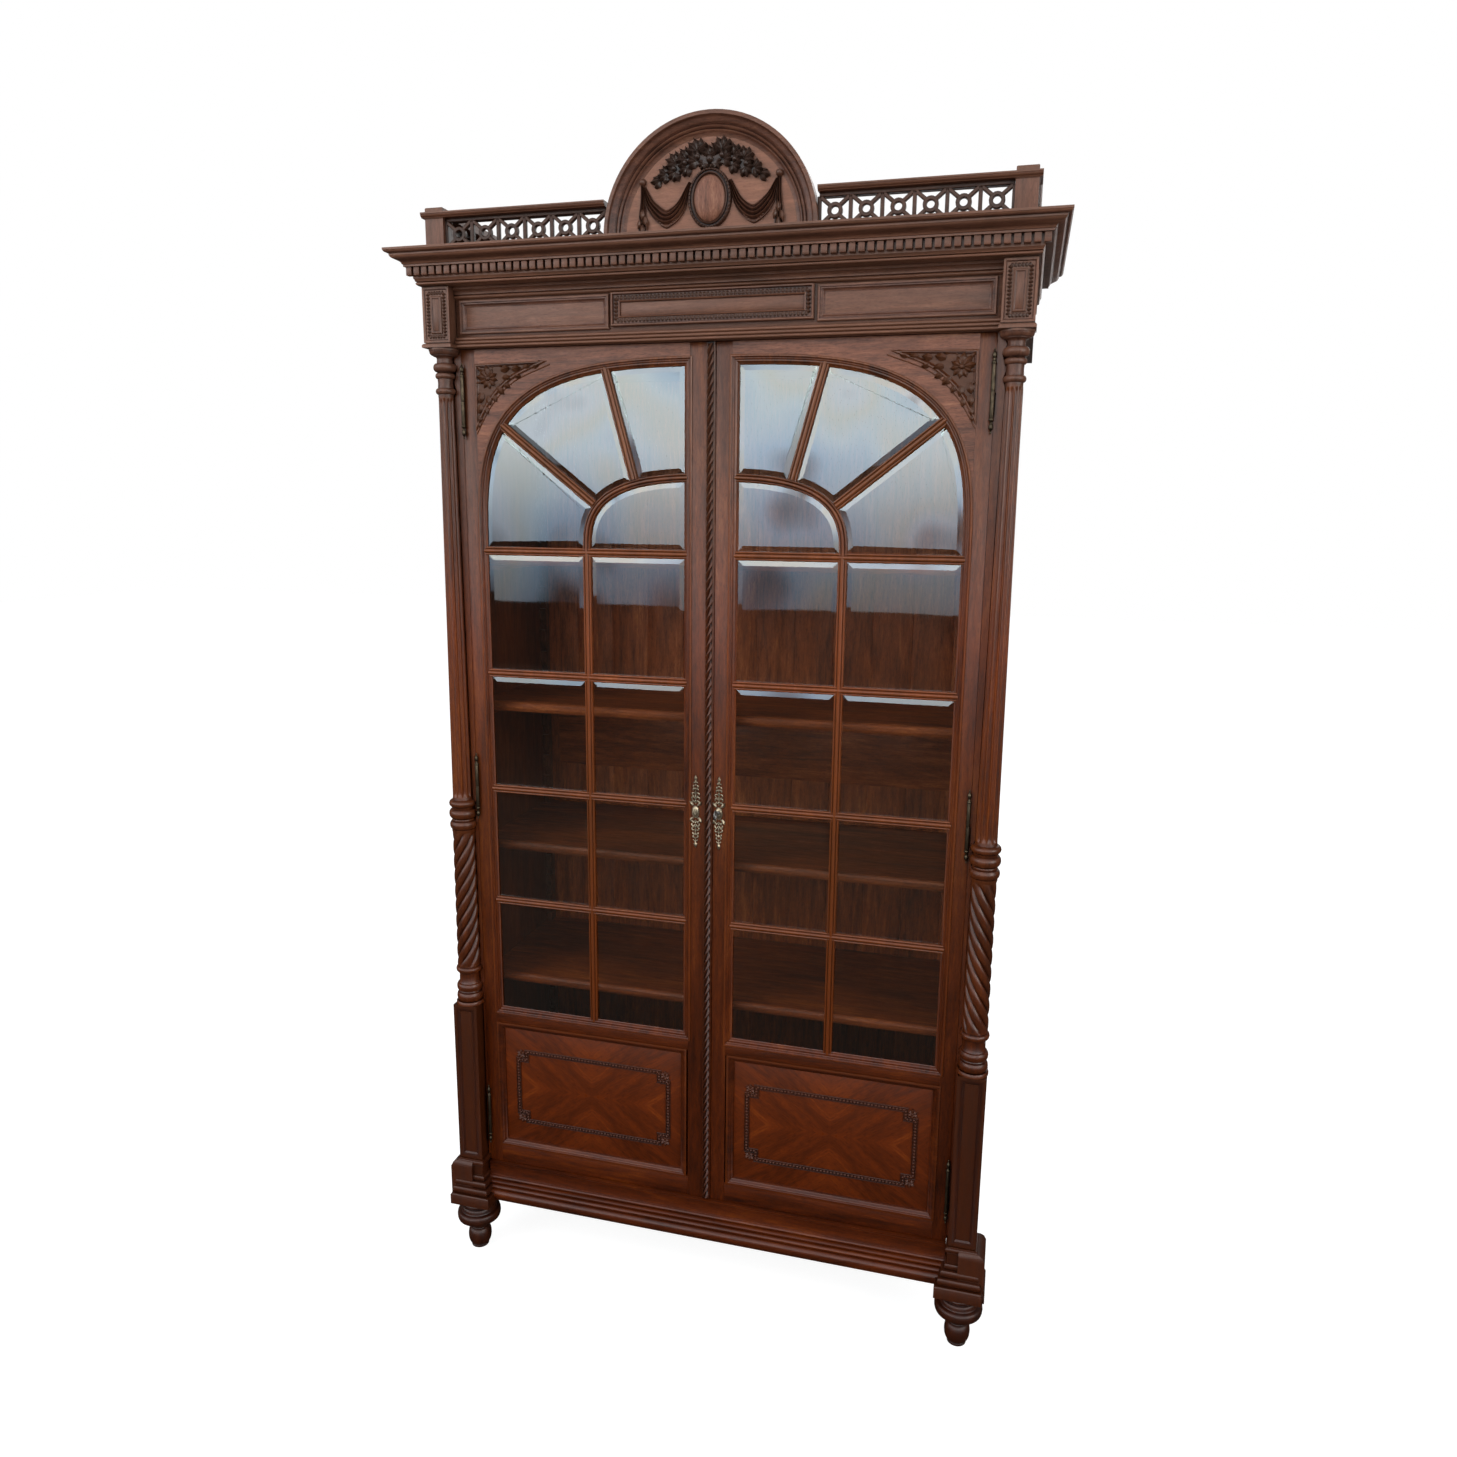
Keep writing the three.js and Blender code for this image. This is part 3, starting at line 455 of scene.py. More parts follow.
def leaf(length, width, height, curl=0.4):
    """A small pointed leaf with a raised rib, on the front plane, its foot at the middle and its tip up."""
    deselect()
    bpy.ops.mesh.primitive_grid_add(x_subdivisions=2, y_subdivisions=4, size=1)
    obj = active()
    for vertex in obj.data.vertices:
        u, t = vertex.co.x * 2, vertex.co.y + 0.5
        belly = math.sin(math.pi * min(t * 0.82 + 0.16, 1.0))
        rib = height * (1 - 0.65 * abs(u)) * (0.35 + belly * (1 - curl) + curl * t)
        vertex.co = Vector((u * width / 2 * belly, -rib, t * length)) * MM
    edit()
    bpy.ops.mesh.select_all(action="SELECT")
    bpy.ops.mesh.extrude_region()
    mesh = bmesh.from_edit_mesh(obj.data)
    for vertex in mesh.verts:
        if vertex.select:
            vertex.co.y = 0.4 * MM
    bmesh.update_edit_mesh(obj.data)
    leave()
    return settle(obj, "leaf", 50)


def pearl(radius, height=None, sides=8):
    """A small round boss on the front plane."""
    deselect()
    bpy.ops.mesh.primitive_uv_sphere_add(segments=sides, ring_count=6, radius=1)
    obj = active()
    rise = radius if height is None else height
    for vertex in obj.data.vertices:
        vertex.co = Vector((vertex.co.x * radius, vertex.co.z * rise, vertex.co.y * radius)) * MM
    return settle(obj, "pearl", 60)


def evenly(path, pitch):
    """Evenly spaced places on each stretch of a path: x, z and the direction of travel in degrees."""
    places = []
    for (ax, az), (bx, bz) in zip(path, path[1:]):
        count = max(round(math.hypot(bx - ax, bz - az) / pitch), 1)
        heading = math.degrees(math.atan2(bz - az, bx - ax))
        for k in range(count):
            t = (k + 0.5) / count
            places.append((ax + (bx - ax) * t, az + (bz - az) * t, heading))
    return places


def dress(obj, material, body, *nodes, slot="walnut"):
    """Gives a finished piece its material, the body it rides on and the nodes that it stands for."""
    obj.data.materials.clear()
    obj.data.materials.append(material)
    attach(obj, body)
    if nodes:
        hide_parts(*nodes)
    return obj


def both_sides(obj, name, material, body, node=None, slot="walnut"):
    """Dresses the right-hand piece and its mirror image; {side} in a name becomes right or left."""
    twin = placed(obj, "twin", MIRROR)
    for own, (_, side) in zip((obj, twin), SIDES):
        own.name = f"{name}_{side}"
        own.data.name = own.name
        nodes = [node.format(side=side)] if node else []
        dress(own, material, body.format(side=side), *nodes, slot=slot)


# ---------------------------------------------------------------------------------------------
# Materials
# ---------------------------------------------------------------------------------------------

class Shader:
    """A small helper that adds and links the nodes of one material, or of the world."""

    def __init__(self, name, world=False):
        self.owner = (bpy.data.worlds if world else bpy.data.materials).new(name)
        self.owner.use_nodes = True
        self.tree = self.owner.node_tree
        self.tree.nodes.clear()
        self.output = self.add("OutputWorld" if world else "OutputMaterial")

    def add(self, kind, inputs=None, **settings):
        node = self.tree.nodes.new("ShaderNode" + kind)
        for key, value in settings.items():
            setattr(node, key, value)
        for key, value in (inputs or {}).items():
            if isinstance(value, bpy.types.NodeSocket):
                self.tree.links.new(value, node.inputs[key])
            else:
                node.inputs[key].default_value = value
        return node

    def place(self):
        return self.add("TexCoord").outputs["Object"]

    def mapped(self, vector, **values):
        return self.add("Mapping", {"Vector": vector, **values}).outputs["Vector"]

    def ramp(self, fac, stops):
        node = self.add("ValToRGB", {"Fac": fac})
        while len(node.color_ramp.elements) < len(stops):
            node.color_ramp.elements.new(0.5)
        for element, (place, colour) in zip(node.color_ramp.elements, stops):
            element.position = place
            element.color = (*colour[:3], 1)
        return node.outputs["Color"]

    def mix(self, share, first, second, blend="MIX"):
        node = self.add("MixRGB", {"Fac": share, "Color1": first, "Color2": second}, blend_type=blend)
        return node.outputs["Color"]

    def math(self, operation, first, second=0.0):
        return self.add("Math", {0: first, 1: second}, operation=operation).outputs[0]

    def noise(self, vector, scale, detail=3.0, roughness=0.55, distortion=0.0):
        inputs = {"Vector": vector, "Scale": scale, "Detail": detail, "Roughness": roughness,
                  "Distortion": distortion}
        return self.add("TexNoise", inputs).outputs["Fac"]

    def finish(self, shader):
        self.tree.links.new(shader, self.output.inputs["Surface"])
        return self.owner


GRAIN = {"x": (1.0, 9.0, 9.0), "y": (9.0, 1.0, 9.0), "z": (9.0, 9.0, 1.0)}
made = {}


def tone(colour, factor, grey=0.0):
    """The colour made lighter or darker, and drawn towards grey."""
    level = sum(colour) / 3
    return tuple(min((c + (level - c) * grey) * factor, 1.0) for c in colour)


def grey_of(value):
    return (value, value, value)


def waxed_wood(n, figure, wide, fine, shades, roughness, carved):
    """Colour, gloss and pores of waxed wood from a slow figure and fine streaks along the grain, with painted
    light that changes with height and, for carved finishes, painted shade in the hollows.
    """
    dark, mid, light = shades
    streak = n.noise(fine, 2.2, 5.0, 0.7)
    pores = n.noise(fine, 9.0, 2.0, 0.5)
    grain = n.mix(0.42, figure, streak)
    grain = n.mix(0.26, grain, n.noise(wide, 1.3, 3.0, 0.6))
    base = n.ramp(grain, [(0.36, dark), (0.47, tone(mid, 0.85)), (0.54, tone(mid, 1.25)), (0.66, light)])
    specks = n.ramp(pores, [(0.36, (0.38, 0.32, 0.30)), (0.47, (1, 1, 1))])
    base = n.mix(0.6, base, specks, "MULTIPLY")
    # Carved finishes get painted shade: the colour is darkened in the hollows that ambient occlusion finds,
    # and lightened along sharp edges, partly as rubbed wear and partly as painted highlight.
    if carved:
        shade = n.add("AmbientOcclusion", {"Distance": 0.012}, samples=4).outputs["AO"]
        hollows = n.ramp(shade, [(0.3, (0.22, 0.17, 0.15)), (0.85, (1, 1, 1))])
        base = n.mix(1.0, base, hollows, "MULTIPLY")
        edges = n.ramp(n.add("NewGeometry").outputs["Pointiness"], [(0.51, (0, 0, 0)), (0.6, (1, 1, 1))])
        base = n.mix(n.math("MULTIPLY", edges, 0.3), base, tone(light, 1.2) + (1,))
    # Painted light: the colour is multiplied by a tint that runs with height. It is darker and more orange
    # near the floor and lighter and less orange higher up, standing in for the way the light falls on the
    # bookcase.
    height = n.add("SeparateXYZ", {"Vector": n.place()}).outputs["Z"]
    painted_light_height = n.add("MapRange", {"Value": height, "From Min": 0.5, "From Max": 2.1}).outputs["Result"]
    painted_light_tint = n.ramp(painted_light_height, [(0.0, (0.78, 0.47, 0.13)), (0.45, (0.92, 0.74, 0.5)), (0.75, (1.3, 1.0, 0.75)),
                            (1.0, (1.0, 1.0, 1.0))])
    base = n.mix(1.0, base, painted_light_tint, "MULTIPLY")
    gloss = n.ramp(streak, [(0.3, grey_of(roughness + 0.1)), (0.7, grey_of(roughness - 0.06))])
    relief = n.math("ADD", n.math("MULTIPLY", streak, 0.6), n.math("MULTIPLY", pores, 0.4))
    bump = n.add("Bump", {"Height": relief, "Strength": 0.22, "Distance": 0.0005}).outputs["Normal"]
    shader = n.add("BsdfPrincipled", {
        "Base Color": base, "Roughness": gloss, "Normal": bump,
        "Specular IOR Level": 0.26, "Coat Weight": 0.05, "Coat Roughness": 0.2})
    return n.finish(shader.outputs["BSDF"])


def walnut(finish="walnut", axis="z"):
    """Waxed walnut with its grain along one axis; the finish picks how light or dark, how grey and how rough
    it is, and whether shade is painted into its hollows.
    """
    key = f"{finish}_{axis}"
    if key in made:
        return made[key]
    factor, grey, roughness, carved = FINISHES[finish]
    colours = bpy.context.scene.bookcase_colours
    shades = [tone(c, factor, grey) for c in (colours.wood_dark, colours.wood_mid, colours.wood_light)]
    n = Shader(key)
    place = n.place()
    wide = n.mapped(place, Scale=tuple(0.55 * s for s in GRAIN[axis]))
    fine = n.mapped(place, Scale=tuple(11 * s for s in GRAIN[axis]))
    figure = n.noise(wide, 5.5, 7.0, 0.62, 1.4)
    made[key] = waxed_wood(n, figure, wide, fine, shades, roughness, carved)
    return made[key]


# How much lighter or darker, how grey, how rough, and whether shade is painted into the hollows and a lighter
# line onto the sharp edges.
FINISHES = {
    "walnut": (1.0, 0.0, 0.36, False),
    # Painted sheen: the door crown's copy is made much lighter and greyer to stand for the glare on the upper
    # wood.
    "crown_walnut": (2.1, 0.25, 0.4, False),
    "turned_walnut": (0.84, 0.0, 0.34, True),
    "glowing_walnut": (1.2, 0.0, 0.32, True),
    "carved_walnut": (0.5, 0.0, 0.5, True),
    "roped_walnut": (0.5, 0.0, 0.4, True),
    # Painted sheen: the upper and crest copies are drawn towards grey, and the plain ones are made lighter, to
    # stand for the glare on the upper wood.
    "upper_walnut": (1.3, 0.30, 0.42, True),
    "upper_carving": (0.45, 0.2, 0.5, True),
    "crest_walnut": (2.1, 0.34, 0.48, True),
    "crest_carving": (0.36, 0.45, 0.42, True),
    "crest_cloth": (1.0, 0.3, 0.4, True),
    "pedestal_walnut": (0.4, 0.0, 0.42, True),
    "shaded_walnut": (0.55, 0.15, 0.5, True),
    "glazing_walnut": (1.15, 0.0, 0.32, True),
    "case_wood": (0.9, 0.15, 0.6, False),
    # Painted light: the shelf and lining copies are made much lighter to stand for the light that reaches the
    # inside of the case through the glass.
    "shelf_wood": (2.2, 0.0, 0.5, False),
    "lining_wood": (3.4, 0.1, 0.55, False),
}


VENEER_SLANT = -55  # degrees


def veneer():
    """Book-matched veneer: four mirrored leaves whose figure makes a lozenge in the middle of a panel."""
    colours = bpy.context.scene.bookcase_colours
    shades = [tone(c, 1.55) for c in (colours.wood_dark, colours.wood_mid, colours.wood_light)]
    middle = (PANEL_LO + PANEL_HI) / 2 * MM
    n = Shader("veneer")
    place = n.add("SeparateXYZ", {"Vector": n.place()})
    across = n.math("ABSOLUTE", n.math("SUBTRACT", n.math("ABSOLUTE", place.outputs["X"]), middle.x))
    up = n.math("ABSOLUTE", n.math("SUBTRACT", place.outputs["Z"], middle.z))
    folded = n.add("CombineXYZ", {"X": across, "Y": 0.0, "Z": up}).outputs["Vector"]
    slanted = n.mapped(folded, Rotation=(0.0, math.radians(VENEER_SLANT), 0.0))
    wide = n.mapped(slanted, Scale=(5.5, 1.0, 1.1))
    fine = n.mapped(slanted, Scale=(85.0, 60.0, 9.0))
    figure = n.noise(wide, 3.4, 5.0, 0.6, 1.2)
    return waxed_wood(n, figure, wide, fine, shades, 0.33, False)


def metal(name, colour, roughness=0.35, patina=0.7):
    """Cast or turned metal, blotched with age and dark in the hollows."""
    n = Shader(name)
    place = n.place()
    blotch = n.noise(place, 90.0, 5.0, 0.6)
    grain = n.noise(place, 900.0, 3.0)
    shade = n.add("AmbientOcclusion", {"Distance": 0.004}, samples=4).outputs["AO"]
    base = n.ramp(blotch, [(0.35, tone(colour, 0.5)), (0.6, tuple(colour)), (0.75, tone(colour, 1.3))])
    base = n.mix(patina, base, n.ramp(shade, [(0.3, (0.1, 0.075, 0.05)), (0.9, (1, 1, 1))]), "MULTIPLY")
    gloss = n.ramp(blotch, [(0.3, grey_of(roughness + 0.2)), (0.7, grey_of(roughness - 0.08))])
    bump = n.add("Bump", {"Height": grain, "Strength": 0.25, "Distance": 0.0003}).outputs["Normal"]
    shader = n.add("BsdfPrincipled", {
        "Base Color": base, "Metallic": 0.85, "Roughness": gloss, "Normal": bump})
    return n.finish(shader.outputs["BSDF"])


def pane_glass():
    """Clear old glass that mirrors the room, more at a slant, and shows the shelves behind it."""
    n = Shader("pane_glass")
    wave = n.noise(n.place(), 3.0, 1.0)
    bump = n.add("Bump", {"Height": wave, "Strength": 0.08, "Distance": 0.004}).outputs["Normal"]
    clear = n.add("BsdfTransparent", {"Color": (0.9, 0.93, 0.92, 1)}).outputs["BSDF"]
    mirror = n.add("BsdfGlossy", {
        "Color": (0.94, 0.97, 1.0, 1), "Roughness": 0.02, "Normal": bump}).outputs["BSDF"]
    share = n.add("Fresnel", {"IOR": 1.95}).outputs["Fac"]
    share = n.math("MULTIPLY", share, n.math("SUBTRACT", 1.0, n.add("NewGeometry").outputs["Backfacing"]))
    return n.finish(n.add("MixShader", {0: share, 1: clear, 2: mirror}).outputs["Shader"])


# ---------------------------------------------------------------------------------------------
# Base, columns and case
# ---------------------------------------------------------------------------------------------

def level_ring(radii, z, start=0.0, x=COLUMN_X, y=COLUMN_Y, breadth=1.0):
    """Corners of a level ring round an upright axis, each at its own radius."""
    angles = [start + math.tau * k / len(radii) for k in range(len(radii))]
    return [(x + breadth * r * math.cos(a), y + r * math.sin(a), z) for r, a in zip(radii, angles)]


def fluted_shaft(name, z0, z1, r0, r1, count):
    """Tapering shaft with hollow flutes that stop short of both ends."""
    stops = ((0, 0), (4, 0), (8, 0.6), (14, 0.92), (22, 1))
    heights = [(z0 + d, depth) for d, depth in stops] + [(z1 - d, depth) for d, depth in reversed(stops)]
    rings = []
    for z, depth in heights:
        radius = r0 + (r1 - r0) * (z - z0) / (z1 - z0)
        shares = [max((k - 1) / 7, 0) for k in range(8)]  # across one flute, after the flat beside it
        flute = [radius * (1 - 0.17 * depth * math.sin(math.pi * share) ** 0.7) for share in shares]
        rings.append(level_ring(flute * count, z))
    return loft(name, rings, angle=28)


def twisted_shaft(name, z0, z1, r0, r1, count, lead):
    """Shaft of rounded ribs that wind upwards to the middle of the bookcase."""
    steps = 56
    rings = []
    for i in range(steps + 1):
        t = i / steps
        z = z0 + (z1 - z0) * t
        fade = min(1.0, 12 * t + 0.15, 12 * (1 - t) + 0.15)
        shares = [abs(k / 8 - 0.5) * 2 for k in range(8)]  # 0 on the crown of a rib, 1 between two
        rib = [(r0 + (r1 - r0) * t) * (1 - 0.2 * fade * u ** 3.2) for u in shares]
        rings.append(level_ring(rib * count, z, start=-math.tau * (z - z0) / lead))
    return loft(name, rings, angle=50)


class BOOKCASE_OT_columns(bpy.types.Operator):
    """Two columns: a fluted upper shaft over a twisted lower one, with turned rings between"""

    bl_idname = "bookcase.columns"
    bl_label = "Columns"

    def execute(self, context):
        sizes = context.scene.bookcase_sizes
        top, bottom = COLUMN_HI.z, COLUMN_LO.z
        cap = [(17.5, top - 110), (18, top - 105), *roll(18, top - 101, top - 87, 5.5), (18, top - 84),
               (17.4, top - 76), (18, top - 68), *roll(18, top - 66, top - 53, 5), (19, top - 52),
               *roll(18.5, top - 51, top - 31, 8.5), (18.5, top - 29), (18, top - 24),
               *cove(18, top - 22, 25, top - 16), (27, top - 15), *quarter(27, top - 14, 34.5, top - 5),
               (35.5, top - 4), (35.5, top)]
        collar = [(27.5, 1186), (29, 1190), (29, 1195), *roll(27.5, 1196, 1217, 6.2), (28, 1218),
                  *cove(28, 1219, 26, 1223), *roll(27, 1224, 1248, 7.5), (27, 1249), (28, 1253),
                  *roll(27, 1254, 1271, 6.7), (25, 1272), (24, 1279)]
        base = [(36, bottom), (36, bottom + 6), (34, bottom + 9), *roll(28, bottom + 9, bottom + 33, 6),
                (29, bottom + 35), *roll(28, bottom + 37, bottom + 58, 5.5), (27.5, bottom + 60),
                (26, bottom + 63), (25.6, bottom + 80), (26, bottom + 86), (28, bottom + 87),
                *roll(28, bottom + 88, bottom + 104, 5.5), (28, bottom + 106), (27, bottom + 108)]
        parts = (
            ("column_cap", turned("cap", cap), "upper_walnut"),
            ("column_fluted_shaft",
             fluted_shaft("flutes", 1274, top - 106, 24, 17.5, sizes.flute_count), "glowing_walnut"),
            ("column_collar", turned("collar", collar), "turned_walnut"),
            ("column_twisted_shaft",
             twisted_shaft("twist", bottom + 106, 1190, 29.5, 28, sizes.twist_count,
                           sizes.twist_lead / MM), "turned_walnut"),
            ("column_base", turned("base", base), "turned_walnut"),
        )
        for name, obj, finish in parts:
            both_sides(obj, name, walnut(finish), "case", "column_{side}")
        return {"FINISHED"}


def swelling(x0, x1, y0, y1, z0, z1, round_by):
    """Levels of a squared ring with a rounded edge; the back stays flat."""
    levels = []
    for k in range(7):
        a = math.pi * k / 6
        pull = round_by * (1 - math.sin(a))
        levels.append((x0 + pull, x1 - pull, y0 + pull, y1, z0 + (z1 - z0) * (1 - math.cos(a)) / 2))
    return levels


SUNK_PANEL = [(0, 0), (0, 4), (9, 4), (10.5, 3.2), (12.5, 3.4), (14, 2.6), (15.5, 1.2), (17, 0.4), (17, 0)]


class BOOKCASE_OT_pedestals(bpy.types.Operator):
    """Two panelled pedestals under the columns, with the ribbed base blocks that carry them"""

    bl_idname = "bookcase.pedestals"
    bl_label = "Pedestals"

    def execute(self, context):
        x0, x1 = COLUMN_X - 32, COLUMN_X + 34
        y0, y1 = COLUMN_Y - 31, FACE + 27.5
        foot, top = PEDESTAL_LO.z, PEDESTAL_HI.z
        back = PEDESTAL_HI.y
        block = [(587, 699, -251, back, foot), (587, 699, -251, back, foot + 27),
                 (589, 697, -249, back, foot + 30),
                 *swelling(594, 695, -245, back, foot + 30, foot + 49, 5),
                 *swelling(600, 690, -238, back, foot + 49, foot + 67, 5),
                 *swelling(608, 686, -231, back, foot + 67, foot + 82, 4)]
        collar = [(x0, x1, y0, y1, foot + 82), (x0, x1, y0, y1, foot + 110),
                  (610, 683, -229, y1, foot + 111),
                  *swelling(608.6, 684.5, -230.5, y1, foot + 112, foot + 124, 3),
                  (612, 682, -227, y1, foot + 127), (x0 + 4, x1 - 4, y0 + 4, y1, foot + 128)]
        die = [(x0 + 4, x1 - 4, y0 + 4, y1, foot + 128), (x0 + 4, x1 - 4, y0 + 4, y1, top)]
        flank = [(640, 706, -239, -138, foot), (640, 706, -239, -138, foot + 15),
                 (640, 703, -237, -140, foot + 21), (640, 702, -236, -141, foot + 26),
                 (640, 702, -236, -141, foot + 104), (640, 699, -235, -142, foot + 109),
                 (640, 697, -234, -143, foot + 114), (640, 688, -230, -146, foot + 120)]
        front = mitred("front", SUNK_PANEL, x0, x1, foot + 129, top, y0 + 4)
        side = mitred("side", SUNK_PANEL, y0 + 4.2, y1, foot + 129, top, x1 - 4)
        side.data.transform(shift(x=2 * (x1 - 4)) @ ROUND_THE_CORNER)
        parts = (
            ("pedestal_block", stack("block", block)), ("pedestal_collar", stack("collar", collar)),
            ("pedestal_die", stack("die", die)), ("pedestal_panel_front", front),
            ("pedestal_panel_flank", side),
            ("pedestal_flank_block", stack("flank", flank)),
        )
        for name, obj in parts:
            both_sides(obj, name, walnut("pedestal_walnut"), "case", "pedestal_{side}")
        return {"FINISHED"}


class BOOKCASE_OT_feet(bpy.types.Operator):
    """Turned front feet and plainer turned back feet"""

    bl_idname = "bookcase.feet"
    bl_label = "Feet"

    def execute(self, context):
        front = [(20, 0), (23, 1.5), (24, 7), *roll(22, 9, 58, 9, 9), (21.5, 59), (22.5, 62),
                 *roll(21.5, 63, 75, 5.5), (24, 77), *ogee(24, 78, 50, 86), (54, 88), *roll(54, 88, 112, 4),
                 (52, 113), (48, 114.5), *cove(47, 116, 42, 128), (43, 130), *roll(42, 131, 141, 4),
                 (47, 142), (50, 145), (50, 149.6)]
        both_sides(turned("foot", front), "front_foot_turning", walnut("pedestal_walnut"), "case",
                   "front_foot_{side}")
        x = (BACK_FOOT_LO.x + BACK_FOOT_HI.x) / 2
        y = (BACK_FOOT_LO.y + BACK_FOOT_HI.y) / 2
        back = [(20, 0), (23, 2), *roll(21, 8, 66, 10, 9), (22, 68), *roll(24, 72, 84, 6),
                *ogee(26, 86, 52, 96), *roll(53, 97, 120, 5), (46, 124), *cove(46, 126, 43, 146), (50, 149),
                (50, BACK_FOOT_HI.z)]
        obj = turned("foot", back, x, y)
        both_sides(obj, "back_foot_turning", walnut("shaded_walnut"), "case", "back_foot_{side}",
                   slot="dark_walnut")
        return {"FINISHED"}


class BOOKCASE_OT_base_rail(bpy.types.Operator):
    """Front rail of the base: a flat fascia over three rounded ribs"""

    bl_idname = "bookcase.base_rail"
    bl_label = "Base rail"

    def execute(self, context):
        back, bottom, top = RAIL_HI.y, RAIL_LO.z, RAIL_HI.z
        ribs = ((-211, -217, bottom + 1, bottom + 27), (-205, -211, bottom + 28, bottom + 40),
                (-199.5, -206, bottom + 41, bottom + 51), (-195, -200.5, bottom + 52, bottom + 62))
        profile = [(back, bottom), (-213, bottom)]
        for inner, outer, z0, z1 in ribs:
            profile += forwards(roll(-inner, z0, z1, inner - outer, 5))
        profile += [(-194.4, bottom + 64), (-194.4, top - 8), (-195.2, top - 6), (-197, top - 3.5),
                    (-197, top), (back, top)]
        obj = straight("base_rail_moulding", profile, -607.2, 607.2, angle=40)
        dress(obj, walnut("walnut", "x"), "case", "base_rail")
        return {"FINISHED"}


CASE_FACE = 655.0  # x of the case's side


class BOOKCASE_OT_flanks(bpy.types.Operator):
    """Planted mouldings that make two panels of each side, and a rib along the foot of the side"""

    bl_idname = "bookcase.flanks"
    bl_label = "Flanks"

    def execute(self, context):
        profile = [(0, -1), (0, 5), (3, 7), (8, 7), (10, 5), (14, 4.4), (18, 2.5), (21, 1), (21, -1)]
        for name, z0, z1 in (("upper", 780, 2290), ("lower", 320, 700)):
            obj = mitred(name, profile, FACE + 75, BACK - 50, z0, z1, -CASE_FACE)
            obj.data.transform(ROUND_THE_CORNER)
            both_sides(obj, f"flank_{name}_panel", walnut("turned_walnut"), "case")
        plinth = [(654, 158), (677, 158), (677, 180), *roll(670, 181, 196, 5), (671, 198),
                  (671, 252), (673, 254), (673, 259), (654, 259)]
        obj = slab("plinth", plinth, -136.5, BACK - 0.5)
        both_sides(obj, "flank_plinth", walnut("walnut", "y"), "case")
        return {"FINISHED"}


# ---------------------------------------------------------------------------------------------
# Frieze, cornice, crest and gallery
# ---------------------------------------------------------------------------------------------

def leaf_border(name, x0, x1, z0, z1, y, pitch, length):
    """A row of small carved leaves round a rectangle, each pointing outwards."""
    places = [shift(x, y, z) @ turn(180 - heading) @ shift(z=-length / 2)
              for x, z, heading in evenly(around(x0, x1, z0, z1), pitch)]
    return strewn(name, leaf(length, pitch * 0.96, 2.6), places)


